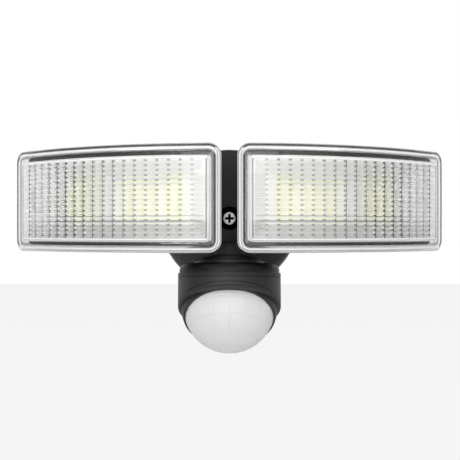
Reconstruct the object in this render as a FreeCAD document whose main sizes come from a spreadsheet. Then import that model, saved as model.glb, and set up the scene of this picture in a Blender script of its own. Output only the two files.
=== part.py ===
import FreeCAD, Part
import Sketcher
import os
import re

from FreeCAD import Placement, Rotation, Vector

# Motion sensor security light: two curved LED heads on a round wall canopy, with a domed motion sensor
# below. Millimetres, X to the right, Y towards the wall, Z up. The origin is where the axis of the
# mounting screw meets the wall, so the wall is the plane Y = 0 and the front faces -Y.

SIZES = {
    # canopy: a round cup on the wall
    "canopy_front_radius": 52.0,
    "canopy_wall_radius": 56.0,
    "canopy_depth": 40.0,
    "canopy_wall": 2.6,
    "canopy_edge_round": 4.0,
    "gasket_thickness": 3.0,
    "gasket_width": 6.5,
    "gasket_inset": 0.5,
    "recess_radius": 9.0,
    "recess_depth": 12.0,
    "recess_wall": 2.0,
    "screw_tube_radius": 5.5,
    "back_plate_inset": 5.0,
    "back_plate_thickness": 2.0,
    "back_plate_clearance": 0.4,
    "plate_screw_circle": 42.0,
    "plate_post_radius": 4.0,
    # fasteners
    "mounting_screw_radius": 2.5,
    "mounting_head_radius": 5.5,
    "mounting_head_height": 3.3,
    "small_screw_radius": 1.3,
    "small_head_radius": 2.8,
    "small_head_height": 1.8,
    "plate_screw_length": 10.0,
    "driver_screw_length": 7.6,
    "cross_length": 5.6,
    "cross_width": 1.1,
    "cross_depth": 1.5,
    "arm_screw_radius": 2.0,
    "arm_head_radius": 3.8,
    "arm_head_height": 2.6,
    "arm_screw_grip": 6.0,
    "screw_end_gap": 1.0,
    "screw_clearance": 0.1,
    # crossbar on the junction box
    "crossbar_length": 98.0,
    "crossbar_width": 20.0,
    "crossbar_thickness": 2.0,
    "slot_spacing": 79.4,
    "slot_travel": 9.5,
    "slot_radius": 2.25,
    "ground_screw_offset": 15.0,
    "ground_head_radius": 3.8,
    "ground_head_height": 2.2,
    # cable entry
    "entry_drop": 26.0,
    "entry_radius": 3.5,
    "grommet_neck_radius": 6.0,
    "grommet_flange_radius": 8.5,
    "grommet_flange_thickness": 1.5,
    # driver
    "driver_width": 56.0,
    "driver_height": 46.0,
    "board_thickness": 1.6,
    "driver_offset": 16.0,
    "driver_post_radius": 3.0,
    "driver_post_across": 28.0,
    "driver_post_up": 38.0,
    "driver_hole_radius": 12.5,
    "transformer_width": 15.0,
    "transformer_depth": 11.0,
    "transformer_height": 10.0,
    "terminal_width": 14.0,
    "terminal_depth": 9.0,
    "terminal_height": 7.0,
    "choke_radius": 4.0,
    "choke_length": 9.0,
    "capacitor_radius": 5.0,
    "capacitor_length": 13.0,
    "driver_part_margin": 2.0,
    # head: a block bent round a vertical axis
    "head_gap": 10.6,
    "head_radius": 206.0,
    "head_back_gap": 6.0,
    "head_sweep_angle": 48.4,
    "head_height": 73.3,
    "head_middle": 12.15,
    "head_corner": 8.5,
    "head_thickness": 34.0,
    "lens_depth": 9.0,
    "lens_wall": 2.2,
    "lens_skin": 2.4,
    "lens_edge_round": 1.6,
    "lens_gasket_thickness": 0.8,
    "shell_inset": 0.6,
    "shell_wall": 2.0,
    "fin_count": 9,
    "fin_thickness": 2.0,
    "fin_depth": 4.0,
    "fin_height": 56.0,
    "fin_first_angle": 14.0,
    "fin_last_angle": 44.0,
    "clip_spacing": 17.0,
    "clip_height": 4.0,
    "clip_thickness": 1.2,
    "clip_gap": 0.4,
    "clip_depth": 3.2,
    "clip_length": 6.6,
    # reflector tray and LED boards
    "reflector_wall": 1.2,
    "reflector_gap": 0.3,
    "open_height": 54.4,
    "open_middle": 12.2,
    "brim_width": 1.4,
    "brim_outer_width": 4.6,
    "brim_corner": 2.0,
    "floor_depth": 13.0,
    "floor_height": 32.0,
    "floor_middle": 11.6,
    "floor_inner_angle": 5.6,
    "floor_outer_angle": 39.4,
    "open_inner_angle": 2.75,
    "open_outer_angle": 45.9,
    "front_board_angle": 15.2,
    "front_board_width": 52.0,
    "side_board_angle": 33.2,
    "side_board_width": 30.0,
    "led_board_height": 31.0,
    "led_board_gap": 0.3,
    "board_margin": 1.5,
    "led_side": 3.4,
    "led_thickness": 0.8,
    "led_pitch": 7.0,
    "board_post_radius": 3.0,
    "board_post_offset": 10.0,
    # hinge of a head
    "hinge_across": 22.0,
    "hinge_inset": 30.0,
    "hinge_height": 5.0,
    "hinge_bolt_radius": 2.5,
    "hinge_clearance": 0.05,
    "hinge_head_radius": 4.3,
    "hinge_head_height": 3.0,
    "hinge_nut_flat": 8.0,
    "hinge_nut_height": 3.0,
    "washer_thickness": 1.0,
    "washer_radius": 5.0,
    "washer_gap": 0.1,
    "bolt_tip": 0.4,
    "ear_thickness": 4.0,
    "ear_radius": 6.5,
    "arm_thickness": 10.0,
    "arm_end_radius": 6.0,
    "arm_root_height": 26.0,
    "arm_base_thickness": 4.0,
    "arm_base_width": 22.0,
    "arm_screw_spacing": 17.0,
    "pocket_width": 28.0,
    "pocket_height": 35.0,
    "pocket_clearance": 0.5,
    "pocket_wall": 1.8,
    # neck below the canopy
    "neck_bar_width": 11.0,
    "neck_top": 19.0,
    "neck_bar_height": 7.3,
    "neck_base_width": 28.0,
    "neck_base_height": 12.0,
    "neck_base_thickness": 5.0,
    "neck_post_radius": 12.4,
    "neck_shoulder_radius": 10.3,
    "neck_shoulder_height": 2.0,
    "neck_waist_radius": 7.5,
    "neck_waist_height": 4.5,
    "neck_post_top_radius": 6.3,
    "neck_cap_radius": 5.0,
    "neck_cap_thickness": 1.5,
    "neck_screw_spacing": 21.0,
    # bell joint of the sensor: pan about the leaning axis, tilt about the two pins
    "sensor_back_gap": 3.6,
    "pin_drop": 32.5,
    "sensor_lean_angle": 5.0,
    "stub_radius": 3.6,
    "stub_bore": 1.6,
    "stub_clearance": 0.1,
    "bell_radius": 23.7,
    "bell_inner_radius": 22.4,
    "bell_ceiling": 2.2,
    "bell_ceiling_radius": 20.0,
    "bell_inner_edge": 1.3,
    "bell_rim_drop": 1.5,
    "bell_edge_height": 0.9,
    "bell_edge_run": 0.9,
    "bell_edge_rise": 0.9,
    "bell_flare_run": 2.3,
    "bell_flare_rise": 1.2,
    "bell_seat": 5.2,
    "bell_seat_run": 2.4,
    "bell_seat_fall": 0.5,
    "neck_seat_gap": 0.2,
    "post_height": 8.1,
    "clip_seat": 10.1,
    "clip_ring_radius": 4.7,
    "clip_ring_thickness": 0.9,
    "clip_groove_depth": 0.6,
    "clip_play": 0.05,
    "stub_tip": 1.0,
    "pin_ear_radius": 2.3,
    "pin_radius": 1.0,
    "pin_length": 9.5,
    "pin_head_radius": 1.4,
    "pin_head_height": 1.1,
    "pin_head_round": 0.9,
    "pin_clearance": 0.08,
    "pin_end_gap": 0.5,
    # sensor
    "knuckle_radius": 21.2,
    "knuckle_top": 1.5,
    "knuckle_slope_angle": 14.0,
    "sensor_radius": 36.4,
    "sensor_wall": 2.2,
    "sensor_top_drop": 7.3,
    "cover_height": 3.0,
    "cover_wall": 2.0,
    "cover_spigot": 1.9,
    "cover_spigot_depth": 1.5,
    "cover_edge_round": 0.6,
    "shoulder_inset": 1.0,
    "shoulder_height": 6.3,
    "shoulder_round": 4.4,
    "shoulder_wall": 2.0,
    "shoulder_inner_corner": 1.0,
    "groove_gap": 0.3,
    "cover_rim_width": 8.4,
    "dish_depth": 1.9,
    "dish_slope_run": 1.5,
    "dome_drop": 33.4,
    "dome_angle": 25.0,
    "bezel_face_width": 4.0,
    "dome_rise": 2.2,
    "dome_wall": 1.4,
    "dome_clearance": 0.1,
    "dome_flange_width": 1.0,
    "dome_flange_thickness": 1.2,
    "stack_play": 0.05,
    "bezel_thickness": 2.4,
    "bezel_spigot": 2.2,
    "bezel_edge_round": 1.6,
    # collar round the dome: part of a larger ball, cut off aslant in front
    "collar_wall": 2.0,
    "collar_rise": 2.0,
    "collar_angle": 16.0,
    "collar_drop": 10.6,
    "sensor_fit": 0.2,
    "sensor_board_gap": 1.0,
    "pir_radius": 4.6,
    "pir_height": 4.5,
    "light_sensor_radius": 2.5,
    "light_sensor_height": 2.6,
    "light_sensor_offset": 13.0,
    # adjusting knobs on the rear of the sensor
    "flat_cut": 6.0,
    "flat_top": 24.0,
    "flat_height": 11.0,
    "knob_drop": 29.5,
    "knob_spacing": 11.0,
    "knob_radius": 3.6,
    "knob_height": 2.8,
    "knob_gap": 0.3,
    "knob_slot": 0.8,
    "knob_shaft_radius": 1.5,
    "knob_clearance": 0.1,
    "knob_slot_depth": 1.4,
    "pot_radius": 4.0,
    "pot_height": 3.6,
    "pot_play": 0.1,
    "control_board_margin": 1.0,
}

# sizes that follow from others: the sensor clears the canopy, the heads clear the sensor's neck, the hinge
# and its pocket keep their place in the head, and the dome and the pieces round it follow the sensor
DERIVED = {
    "pan_depth": "canopy_depth + sensor_radius + sensor_back_gap",
    "head_depth": "pan_depth + head_back_gap + head_thickness",
    "hinge_depth": "head_depth - hinge_inset",
    "pocket_floor_depth": "hinge_depth + ear_radius + pocket_clearance",
    "dish_radius": "sensor_radius - cover_rim_width",
    "dome_radius": "sensor_radius - bezel_face_width",
    "dome_flange_radius": "dome_radius + dome_flange_width",
    "collar_radius": "dome_radius + collar_wall",
    "sensor_board_rim": "dome_radius - dome_wall - sensor_board_gap",
    "flat_distance": "sensor_radius - flat_cut",
}

doc = FreeCAD.newDocument("SecurityLight")
sheet = doc.addObject("Spreadsheet::Sheet", "Sizes")
for row, (alias, size) in enumerate(SIZES.items(), start=1):
    sheet.set("A%d" % row, alias.replace("_", " "))
    sheet.set("B%d" % row, str(size))
    sheet.setAlias("B%d" % row, alias)
for row, (alias, text) in enumerate(DERIVED.items(), start=len(SIZES) + 1):
    sheet.set("A%d" % row, alias.replace("_", " "))
    sheet.set("B%d" % row, "=" + text)
    sheet.setAlias("B%d" % row, alias)
doc.recompute()

ALIAS = re.compile(r"\b(%s)\b" % "|".join(sorted([*SIZES, *DERIVED], key=len, reverse=True)))
WHOLE_TURN = 360
OVERRUN = 1.0
DEGREES_PER_RADIAN = 57.2957795
NEAR = 0.01
HEAD_TOP_SHARE = 0.75
HEAD_EDGE_SHARE = 0.5
RIGHT = Vector(1, 0, 0)
UP = Vector(0, 0, 1)
nodes = []


# Small helpers that tie every piece to the sheet

def formula(text):
    """A formula on bare size names, with the sheet's name put before each of them."""
    return ALIAS.sub(r"Sizes.\1", str(text))


def value(text):
    """The number that a formula on bare size names comes to."""
    answer = sheet.evalExpression(str(text))
    return float(getattr(answer, "Value", answer))


def bind(piece, **formulas):
    for name, text in formulas.items():
        piece.setExpression(name, formula(text))
    return piece


def place(piece, x=0, y=0, z=0, axis=UP, angle=0):
    """Put a piece at a formula place, turned about one axis by a formula angle."""
    piece.Placement = Placement(Vector(0, 0, 0), Rotation(axis, 1))
    piece.setExpression("Placement.Base.x", formula(x))
    piece.setExpression("Placement.Base.y", formula(y))
    piece.setExpression("Placement.Base.z", formula(z))
    piece.setExpression("Placement.Rotation.Angle", formula(angle))
    return piece


def box(name, length, width, height, x, y, z):
    """A box centred on x, from y towards the wall and from z upwards."""
    piece = doc.addObject("Part::Box", name)
    bind(piece, Length=length, Width=width, Height=height)
    return place(piece, "%s - (%s) / 2" % (x, length), y, z)


def rod(name, radius, length, x, y, z, along="Y"):
    """A cylinder that starts at a point and runs along +X, +Y or +Z."""
    piece = doc.addObject("Part::Cylinder", name)
    bind(piece, Radius=radius, Height=length)
    turns = {"X": (Vector(0, 1, 0), 90), "Y": (Vector(1, 0, 0), -90), "Z": (UP, 0)}
    axis, angle = turns[along]
    return place(piece, x, y, z, axis, angle)


def fuse(name, *pieces):
    joined = doc.addObject("Part::MultiFuse", name)
    joined.Shapes = list(pieces)
    joined.Refine = True
    return joined


def group(name, *pieces):
    """Separate solids under one name."""
    together = doc.addObject("Part::Compound", name)
    together.Links = list(pieces)
    return together


def cut(name, base, *tools):
    """Take the tools away from the base."""
    remainder = doc.addObject("Part::Cut", name)
    remainder.Base = base
    remainder.Tool = tools[0] if len(tools) == 1 else group(name + "_tools", *tools)
    return remainder


def common(name, *pieces):
    shared = doc.addObject("Part::MultiCommon", name)
    shared.Shapes = list(pieces)
    return shared


def outline_sketch(body, role, outline):
    """A closed outline of straight runs whose corners are formula pairs."""
    sketch = body.newObject("Sketcher::SketchObject", body.Name + "_outline")
    plane = next(feature for feature in body.Origin.OriginFeatures if feature.Role == role)
    sketch.AttachmentSupport = [(plane, "")]
    sketch.MapMode = "FlatFace"
    corners = [Vector(value(across), value(up), 0) for across, up in outline]
    for index, corner in enumerate(corners):
        following = corners[(index + 1) % len(corners)]
        sketch.addGeometry(Part.LineSegment(corner, following), False)
    for index, pair in enumerate(outline):
        sketch.addConstraint(Sketcher.Constraint("Coincident", index, 2, (index + 1) % len(outline), 1))
        for text, number, kind, axis in zip(pair, corners[index], ("DistanceX", "DistanceY"), (-2, -1)):
            if text == 0:
                sketch.addConstraint(Sketcher.Constraint("PointOnObject", index, 1, axis))
                continue
            constraint = sketch.addConstraint(Sketcher.Constraint(kind, index, 1, number))
            sketch.setExpression("Constraints[%d]" % constraint, formula(text))
    return sketch


def revolved(name, outline):
    """A body turned about its own Z axis from (radius, height) corners."""
    body = doc.addObject("PartDesign::Body", name)
    turn = body.newObject("PartDesign::Revolution", name + "_turn")
    turn.Profile = outline_sketch(body, "XZ_Plane", outline)
    turn.ReferenceAxis = (turn.Profile[0], ["V_Axis"])
    turn.Angle = WHOLE_TURN
    return body


def padded(name, role, outline, length):
    """A body padded equally to both sides of one of its origin planes."""
    body = doc.addObject("PartDesign::Body", name)
    pad = body.newObject("PartDesign::Pad", name + "_pad")
    pad.Profile = outline_sketch(body, role, outline)
    pad.Midplane = True
    bind(pad, Length=length)
    return body


def round_edges(body, size, chosen):
    """Round the edges of a body that the chosen test picks."""
    doc.recompute()
    base = body.Tip
    names = ["Edge%d" % number for number, edge in enumerate(base.Shape.Edges, start=1) if chosen(edge)]
    fillet = body.newObject("PartDesign::Fillet", body.Name + "_round")
    fillet.Base = (base, names)
    bind(fillet, Radius=size)
    body.Tip = fillet
    return body


def is_circle_at(edge, radius, height):
    """Whether an edge is a whole circle of that radius at that height on a body's own axis."""
    curve = edge.Curve
    if not isinstance(curve, Part.Circle):
        return False
    return abs(curve.Radius - radius) < NEAR and abs(curve.Center.z - height) < NEAR


def node(piece, label):
    """Keep a piece as a sub-part under its own name."""
    piece.Label = label
    nodes.append(piece)
    return piece


def both_sides(piece, name):
    """Keep a right-hand piece and its mirror image on the left."""
    node(piece, "right_" + name)
    mirror = doc.addObject("Part::Mirroring", "left_" + name)
    mirror.Source = piece
    mirror.Normal = RIGHT
    node(mirror, "left_" + name)


def turned_to_wall(body, x=0, y=0, z=0):
    """Turn a body's own Z axis to point at the wall (+Y) and put its origin at a place."""
    return place(body, x, y, z, RIGHT, -90)


def screw(name, shank, head, head_height, grip, x, y, z, towards_wall=False):
    """A pan-head screw with its head on the front side of y, or on the wall side, and its shank beyond."""
    side = "" if towards_wall else "-"
    outline = [(0, "%s(%s)" % (side, head_height)),
               ("%s * %s" % (HEAD_TOP_SHARE, head), "%s(%s)" % (side, head_height)),
               (head, "%s%s * (%s)" % (side, HEAD_EDGE_SHARE, head_height)), (head, 0), (shank, 0),
               (shank, "%s(%s)" % ("-" if towards_wall else "", grip)),
               (0, "%s(%s)" % ("-" if towards_wall else "", grip))]
    return turned_to_wall(revolved(name, outline), x, y, z)


def through_rod(name, radius, length, x, y, z, along="Y"):
    """A cylinder for a hole that overruns both faces of what it goes through."""
    start = {"X": x, "Y": y, "Z": z}
    start[along] = "%s - %s" % (start[along], OVERRUN)
    return rod(name, radius, "%s + 2 * %s" % (length, OVERRUN), start["X"], start["Y"], start["Z"], along)


# Canopy and what it holds

CANOPY_BACK = "-gasket_thickness"
CANOPY_INNER_FRONT = "(-canopy_depth + canopy_wall)"
RECESS_FLOOR = "(-canopy_depth + recess_depth)"
RECESS_BACK = "(-canopy_depth + recess_depth + canopy_wall)"
PLATE_BACK = "(-gasket_thickness - back_plate_inset)"
PLATE_FRONT = "(-gasket_thickness - back_plate_inset - back_plate_thickness)"
PLATE_ANGLES = (90, 210, 330)
CANOPY_TAPER = "(canopy_wall_radius - canopy_front_radius) / (canopy_depth - gasket_thickness)"
PLATE_RADIUS = ("(canopy_wall_radius - canopy_wall - back_plate_clearance"
                " - (back_plate_inset + back_plate_thickness) * %s)" % CANOPY_TAPER)
SCREW_HOLE = "(mounting_screw_radius + 3 * screw_clearance)"
PILOT_RADIUS = "(small_screw_radius + screw_clearance / 2)"


def plate_points():
    """Places of the three back plate screws as pairs of formulas."""
    return [("plate_screw_circle * cos(%d)" % angle, "plate_screw_circle * sin(%d)" % angle)
            for angle in PLATE_ANGLES]


def driver_points():
    return [("%d * driver_post_across / 2" % across, "%d * driver_post_up / 2" % up)
            for across in (-1, 1) for up in (-1, 1)]


def arm_screw_points():
    return [("%d * hinge_across" % side, "hinge_height + %d * arm_screw_spacing / 2" % up)
            for side in (-1, 1) for up in (-1, 1)]


def neck_screw_points():
    return [("%d * neck_screw_spacing / 2" % side, "-neck_top - neck_base_height / 2") for side in (-1, 1)]


def canopy_housing():
    outline = [
        (SCREW_HOLE, RECESS_FLOOR), ("recess_radius", RECESS_FLOOR), ("recess_radius", "-canopy_depth"),
        ("canopy_front_radius", "-canopy_depth"), ("canopy_wall_radius", CANOPY_BACK),
        ("canopy_wall_radius - canopy_wall", CANOPY_BACK),
        ("canopy_front_radius - canopy_wall", CANOPY_INNER_FRONT),
        ("recess_radius + recess_wall", CANOPY_INNER_FRONT), ("recess_radius + recess_wall", RECESS_BACK),
        ("screw_tube_radius", RECESS_BACK), ("screw_tube_radius", PLATE_FRONT), (SCREW_HOLE, PLATE_FRONT),
    ]
    cup = revolved("canopy_cup", outline)
    round_edges(cup, "canopy_edge_round",
                lambda edge: is_circle_at(edge, value("canopy_front_radius"), value("-canopy_depth")))
    turned_to_wall(cup)
    posts = [cup]
    holes = []
    plate_post = "(%s - %s)" % (PLATE_FRONT, CANOPY_INNER_FRONT)
    for x, z in plate_points():
        posts.append(rod("plate_post", "plate_post_radius", plate_post, x, CANOPY_INNER_FRONT, z))
        holes.append(rod("plate_hole", PILOT_RADIUS, "plate_screw_length", x,
                         "%s - plate_screw_length" % PLATE_BACK, z))
    driver_post = "(-driver_offset - board_thickness - %s)" % CANOPY_INNER_FRONT
    for x, z in driver_points():
        posts.append(rod("driver_post", "driver_post_radius", driver_post, x, CANOPY_INNER_FRONT, z))
        holes.append(rod("driver_hole", PILOT_RADIUS, "driver_screw_length", x,
                         "-driver_offset - driver_screw_length", z))
    for x, z in arm_screw_points() + neck_screw_points():
        holes.append(through_rod("arm_hole", "arm_screw_radius + screw_clearance", "canopy_wall",
                                 x, "-canopy_depth", z))
    node(cut("canopy_shell", fuse("canopy_solid", *posts), *holes), "canopy_housing")


def canopy_gasket():
    outer = "(canopy_wall_radius - gasket_inset)"
    inner = "(canopy_wall_radius - gasket_width)"
    outline = [(inner, 0), (outer, 0), (outer, CANOPY_BACK), (inner, CANOPY_BACK)]
    node(turned_to_wall(revolved("gasket_ring", outline)), "canopy_gasket")


def back_plate():
    disc = rod("plate_disc", PLATE_RADIUS, "back_plate_thickness", 0, PLATE_FRONT, 0)
    holes = [through_rod("plate_middle_hole", SCREW_HOLE, "back_plate_thickness", 0, PLATE_FRONT, 0),
             through_rod("plate_entry_hole", "grommet_neck_radius", "back_plate_thickness",
                         0, PLATE_FRONT, "-entry_drop")]
    screws = []
    for x, z in plate_points():
        holes.append(through_rod("plate_screw_hole", "small_screw_radius + screw_clearance",
                                 "back_plate_thickness", x, PLATE_FRONT, z))
        screws.append(screw("plate_screw", "small_screw_radius", "small_head_radius", "small_head_height",
                            "plate_screw_length", x, PLATE_BACK, z, towards_wall=True))
    node(cut("plate_cut", disc, *holes), "back_plate")
    node(group("plate_screws", *screws), "back_plate_screws")


def supply_grommet():
    """Rubber bush in the back plate; the supply cable comes in through it."""
    outline = [
        ("entry_radius", "-back_plate_thickness - grommet_flange_thickness"),
        ("grommet_flange_radius", "-back_plate_thickness - grommet_flange_thickness"),
        ("grommet_flange_radius", "-back_plate_thickness"), ("grommet_neck_radius", "-back_plate_thickness"),
        ("grommet_neck_radius", 0), ("grommet_flange_radius", 0),
        ("grommet_flange_radius", "grommet_flange_thickness"), ("entry_radius", "grommet_flange_thickness"),
    ]
    bush = revolved("grommet_bush", outline)
    node(turned_to_wall(bush, 0, PLATE_BACK, "-entry_drop"), "supply_grommet")


def driver():
    """Board on its posts, with the parts on the side that faces the front."""
    front = "(-driver_offset - board_thickness)"
    blank = box("driver_blank", "driver_width", "board_thickness", "driver_height", 0, front,
                "-driver_height / 2")
    holes = [through_rod("driver_middle", "driver_hole_radius", "board_thickness", 0, front, 0)]
    screws = []
    for x, z in driver_points():
        holes.append(through_rod("driver_mount", "small_screw_radius + screw_clearance", "board_thickness",
                                 x, front, z))
        screws.append(screw("driver_screw", "small_screw_radius", "small_head_radius", "small_head_height",
                            "driver_screw_length", x, "-driver_offset", z, towards_wall=True))
    node(cut("driver_plate", blank, *holes), "driver_board")
    node(group("driver_fixings", *screws), "driver_screws")
    transformer = box("transformer", "transformer_width", "transformer_depth", "transformer_height",
                      0, front + " - transformer_depth", "driver_height / 2 - transformer_height")
    terminal = box("terminal_block", "terminal_width", "terminal_depth", "terminal_height",
                   0, front + " - terminal_depth", "-driver_height / 2")
    choke = rod("choke_coil", "choke_radius", "choke_length",
                "driver_width / 2 - choke_radius - driver_part_margin", front + " - choke_length", 0)
    capacitor = rod("capacitor", "capacitor_radius", "capacitor_length",
                    "capacitor_radius + driver_part_margin - driver_width / 2",
                    front + " - capacitor_length", 0)
    node(group("driver_bits", transformer, terminal, choke, capacitor), "driver_parts")


def mounting_screw():
    """The cross-head screw that pulls the canopy onto the crossbar."""
    blank = screw("mounting_blank", "mounting_screw_radius", "mounting_head_radius",
                  "mounting_head_height", "canopy_depth - recess_depth", 0, RECESS_FLOOR, 0)
    top = "%s - mounting_head_height" % RECESS_FLOOR
    wings = [box("cross_slot", across, "cross_depth", up, 0, top, "-(%s) / 2" % up)
             for across, up in (("cross_length", "cross_width"), ("cross_width", "cross_length"))]
    node(cut("mounting_cut", blank, *wings), "mounting_screw")


def crossbar():
    """Strap on the junction box with a slot to each side of the threaded middle hole."""
    half = "(crossbar_length - crossbar_width) / 2"
    bar = box("bar_middle", "crossbar_length - crossbar_width", "crossbar_thickness", "crossbar_width",
              0, "-crossbar_thickness", "-crossbar_width / 2")
    ends = [rod("bar_end", "crossbar_width / 2", "crossbar_thickness", "%d * %s" % (side, half),
                "-crossbar_thickness", 0) for side in (-1, 1)]
    front = "-crossbar_thickness"
    holes = [through_rod("bar_thread", "mounting_screw_radius + screw_clearance / 2",
                         "crossbar_thickness", 0, front, 0),
             through_rod("bar_ground", "arm_screw_radius + screw_clearance / 2",
                         "crossbar_thickness", "ground_screw_offset", front, 0)]
    for side in (-1, 1):
        middle = "%d * slot_spacing / 2" % side
        holes.append(box("slot_middle", "slot_travel", "3 * crossbar_thickness", "2 * slot_radius",
                         middle, "-2 * crossbar_thickness", "-slot_radius"))
        for end in (-1, 1):
            holes.append(through_rod("slot_end", "slot_radius", "crossbar_thickness",
                                     "%s + %d * slot_travel / 2" % (middle, end), front, 0))
    node(cut("bar_cut", fuse("bar_blank", bar, *ends), *holes), "crossbar")
    ground = screw("ground_blank", "arm_screw_radius", "ground_head_radius", "ground_head_height",
                   "crossbar_thickness", "ground_screw_offset", front, 0)
    node(ground, "ground_screw")


# Arms and neck

def arms():
    """Arm from the canopy to the hinge bolt, with its foot on the canopy's front."""
    root = "-canopy_depth - arm_base_thickness"
    bar = padded("arm_bar", "YZ_Plane", [
        ("-hinge_depth", "hinge_height + arm_end_radius"), (root, "hinge_height + arm_root_height / 2"),
        (root, "hinge_height - arm_root_height / 2"), ("-hinge_depth", "hinge_height - arm_end_radius"),
    ], "arm_thickness")
    place(bar, "hinge_across")
    side = "hinge_across - arm_thickness / 2"
    end = rod("arm_end", "arm_end_radius", "arm_thickness", side, "-hinge_depth", "hinge_height", "X")
    foot = box("arm_foot", "arm_base_width", "arm_base_thickness", "arm_root_height", "hinge_across",
               root, "hinge_height - arm_root_height / 2")
    holes = [through_rod("arm_bore", "hinge_bolt_radius + hinge_clearance", "arm_thickness", side,
                         "-hinge_depth", "hinge_height", "X")]
    for up in (-1, 1):
        holes.append(rod("arm_thread", "arm_screw_radius + screw_clearance / 2", "2 * arm_screw_grip",
                         "hinge_across", "-canopy_depth - arm_screw_grip",
                         "hinge_height + %d * arm_screw_spacing / 2" % up))
    both_sides(cut("arm_cut", fuse("arm_blank", bar, end, foot), *holes), "arm")
    screws = [inside_screw("arm_screw", "arm_screw_grip", x, z) for x, z in arm_screw_points()]
    node(group("arm_fixings", *screws), "arm_screws")


def inside_screw(name, hold, x, z):
    """A screw driven from inside the canopy through its front wall into a hole of a given depth."""
    return screw(name, "arm_screw_radius", "arm_head_radius", "arm_head_height",
                 "canopy_wall + %s - screw_end_gap" % hold, x, CANOPY_INNER_FRONT, z, towards_wall=True)


def on_pan_axis(piece):
    """Put a piece that is drawn about the pan axis, with the pins at height 0, in its real place."""
    return place(piece, 0, "-pan_depth", "-pin_drop", RIGHT, "-sensor_lean_angle")


def sensor_neck():
    seat = "(bell_seat + neck_seat_gap)"
    top = "(bell_seat + neck_seat_gap + post_height)"
    post = on_pan_axis(revolved("neck_post", [
        (0, seat), ("neck_post_radius", seat), ("neck_shoulder_radius", seat + " + neck_shoulder_height"),
        ("neck_waist_radius", seat + " + neck_waist_height"), ("neck_post_top_radius", top), (0, top)]))
    bar = box("neck_bar", "neck_bar_width", "pan_depth - canopy_depth", "neck_bar_height",
              0, "-pan_depth", "-neck_top - neck_bar_height")
    base = box("neck_base", "neck_base_width", "neck_base_thickness", "neck_base_height",
               0, "-canopy_depth - neck_base_thickness", "-neck_top - neck_base_height")
    below = "%s - %s" % (seat, OVERRUN)
    above = "%s + 2 * neck_cap_thickness" % top
    bore = on_pan_axis(revolved("neck_bore", [
        (0, below), ("stub_radius + stub_clearance", below),
        ("stub_radius + stub_clearance", "clip_seat - stub_clearance"),
        ("neck_cap_radius", "clip_seat - stub_clearance"), ("neck_cap_radius", above), (0, above)]))
    holes = [bore]
    hold = "(neck_base_thickness - screw_end_gap)"
    screws = []
    for x, z in neck_screw_points():
        holes.append(rod("neck_thread", "arm_screw_radius + screw_clearance / 2", "2 * " + hold,
                         x, "-canopy_depth - " + hold, z))
        screws.append(inside_screw("neck_screw", hold, x, z))
    node(cut("neck_cut", fuse("neck_blank", post, bar, base), *holes), "sensor_neck")
    node(group("neck_fixings", *screws), "neck_screws")
    under = "%s - neck_cap_thickness" % top
    edge = "neck_cap_radius - stub_clearance"
    cap = on_pan_axis(revolved("neck_plug", [(0, under), (edge, under), (edge, top), (0, top)]))
    node(cap, "neck_cap")


# Heads: drawn on the right and mirrored to the left. A piece of a head is drawn straight ahead of the
# head's vertical axis and then swung round that axis to its angle.

AXIS_X = "(head_gap / 2)"
AXIS_Y = "(head_radius - head_depth)"
HEAD_ARC = "(head_sweep_angle / %s * head_radius)" % DEGREES_PER_RADIAN
SHELL_FRONT = "(head_radius - lens_depth - lens_gasket_thickness)"
SHELL_BACK = "(head_radius - head_thickness)"
FLOOR = "(head_radius - floor_depth)"
FLOOR_BACK = "(head_radius - floor_depth - reflector_wall)"
BRIM_FRONT = "(head_radius - lens_skin - reflector_gap)"
EAR_FACE = "(arm_thickness / 2 + washer_thickness + 2 * washer_gap)"
BOARDS = {"front": ("front_board_angle", "front_board_width"),
          "side": ("side_board_angle", "side_board_width")}


def swung(piece, angle):
    """Swing a piece round the right head's vertical axis by a formula angle."""
    holder = group(piece.Name + "_swung", piece)
    x = "%s * (1 - cos(%s)) + %s * sin(%s)" % (AXIS_X, angle, AXIS_Y, angle)
    y = "%s * (1 - cos(%s)) - %s * sin(%s)" % (AXIS_Y, angle, AXIS_X, angle)
    return place(holder, x, y, 0, UP, angle)


def is_radial(edge):
    """Whether an edge is one of the level straight ones at a bent block's corners."""
    return isinstance(edge.Curve, Part.Line) and abs(edge.Curve.Direction.z) < 0.5


def bent_block(name, outer, inner, first, last, low, high, corner):
    """Block bent round the head's axis between two radii, two arc lengths and two heights."""
    start = "(%s) / head_radius * %s" % (first, DEGREES_PER_RADIAN)
    end = "(%s) / head_radius * %s" % (last, DEGREES_PER_RADIAN)
    solid = doc.addObject("Part::Cylinder", name + "_outer")
    bind(solid, Radius=outer, Height="(%s) - (%s)" % (high, low), Angle="(%s) - (%s)" % (end, start))
    place(solid, AXIS_X, AXIS_Y, low, UP, "270 + " + start)
    core = through_rod(name + "_inner", inner, "(%s) - (%s)" % (high, low), AXIS_X, AXIS_Y, low, "Z")
    block = cut(name + "_block", solid, core)
    doc.recompute()
    size = value(corner)
    rounded = doc.addObject("Part::Fillet", name)
    rounded.Base = block
    rounded.Edges = [(number, size, size) for number, edge in enumerate(block.Shape.Edges, start=1)
                     if is_radial(edge)]
    return rounded


def curved_block(name, outer, inner, inset):
    """A bent block that is inset from the head's outline all round."""
    return bent_block(name, outer, inner, inset, "%s - (%s)" % (HEAD_ARC, inset),
                      "head_middle - head_height / 2 + (%s)" % inset,
                      "head_middle + head_height / 2 - (%s)" % inset, "head_corner - (%s)" % inset)


def clip_box(name, up, thickness, depth, length, height):
    """A small upright box just inside the outer end of the lens, from a depth backwards."""
    middle = "%s - lens_wall - clip_gap - clip_thickness / 2" % AXIS_X
    piece = box(name, thickness, length, height, middle, "-head_depth + %s" % depth,
                "head_middle + %d * clip_spacing / 2 - (%s) / 2" % (up, height))
    return swung(piece, "head_sweep_angle")


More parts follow.
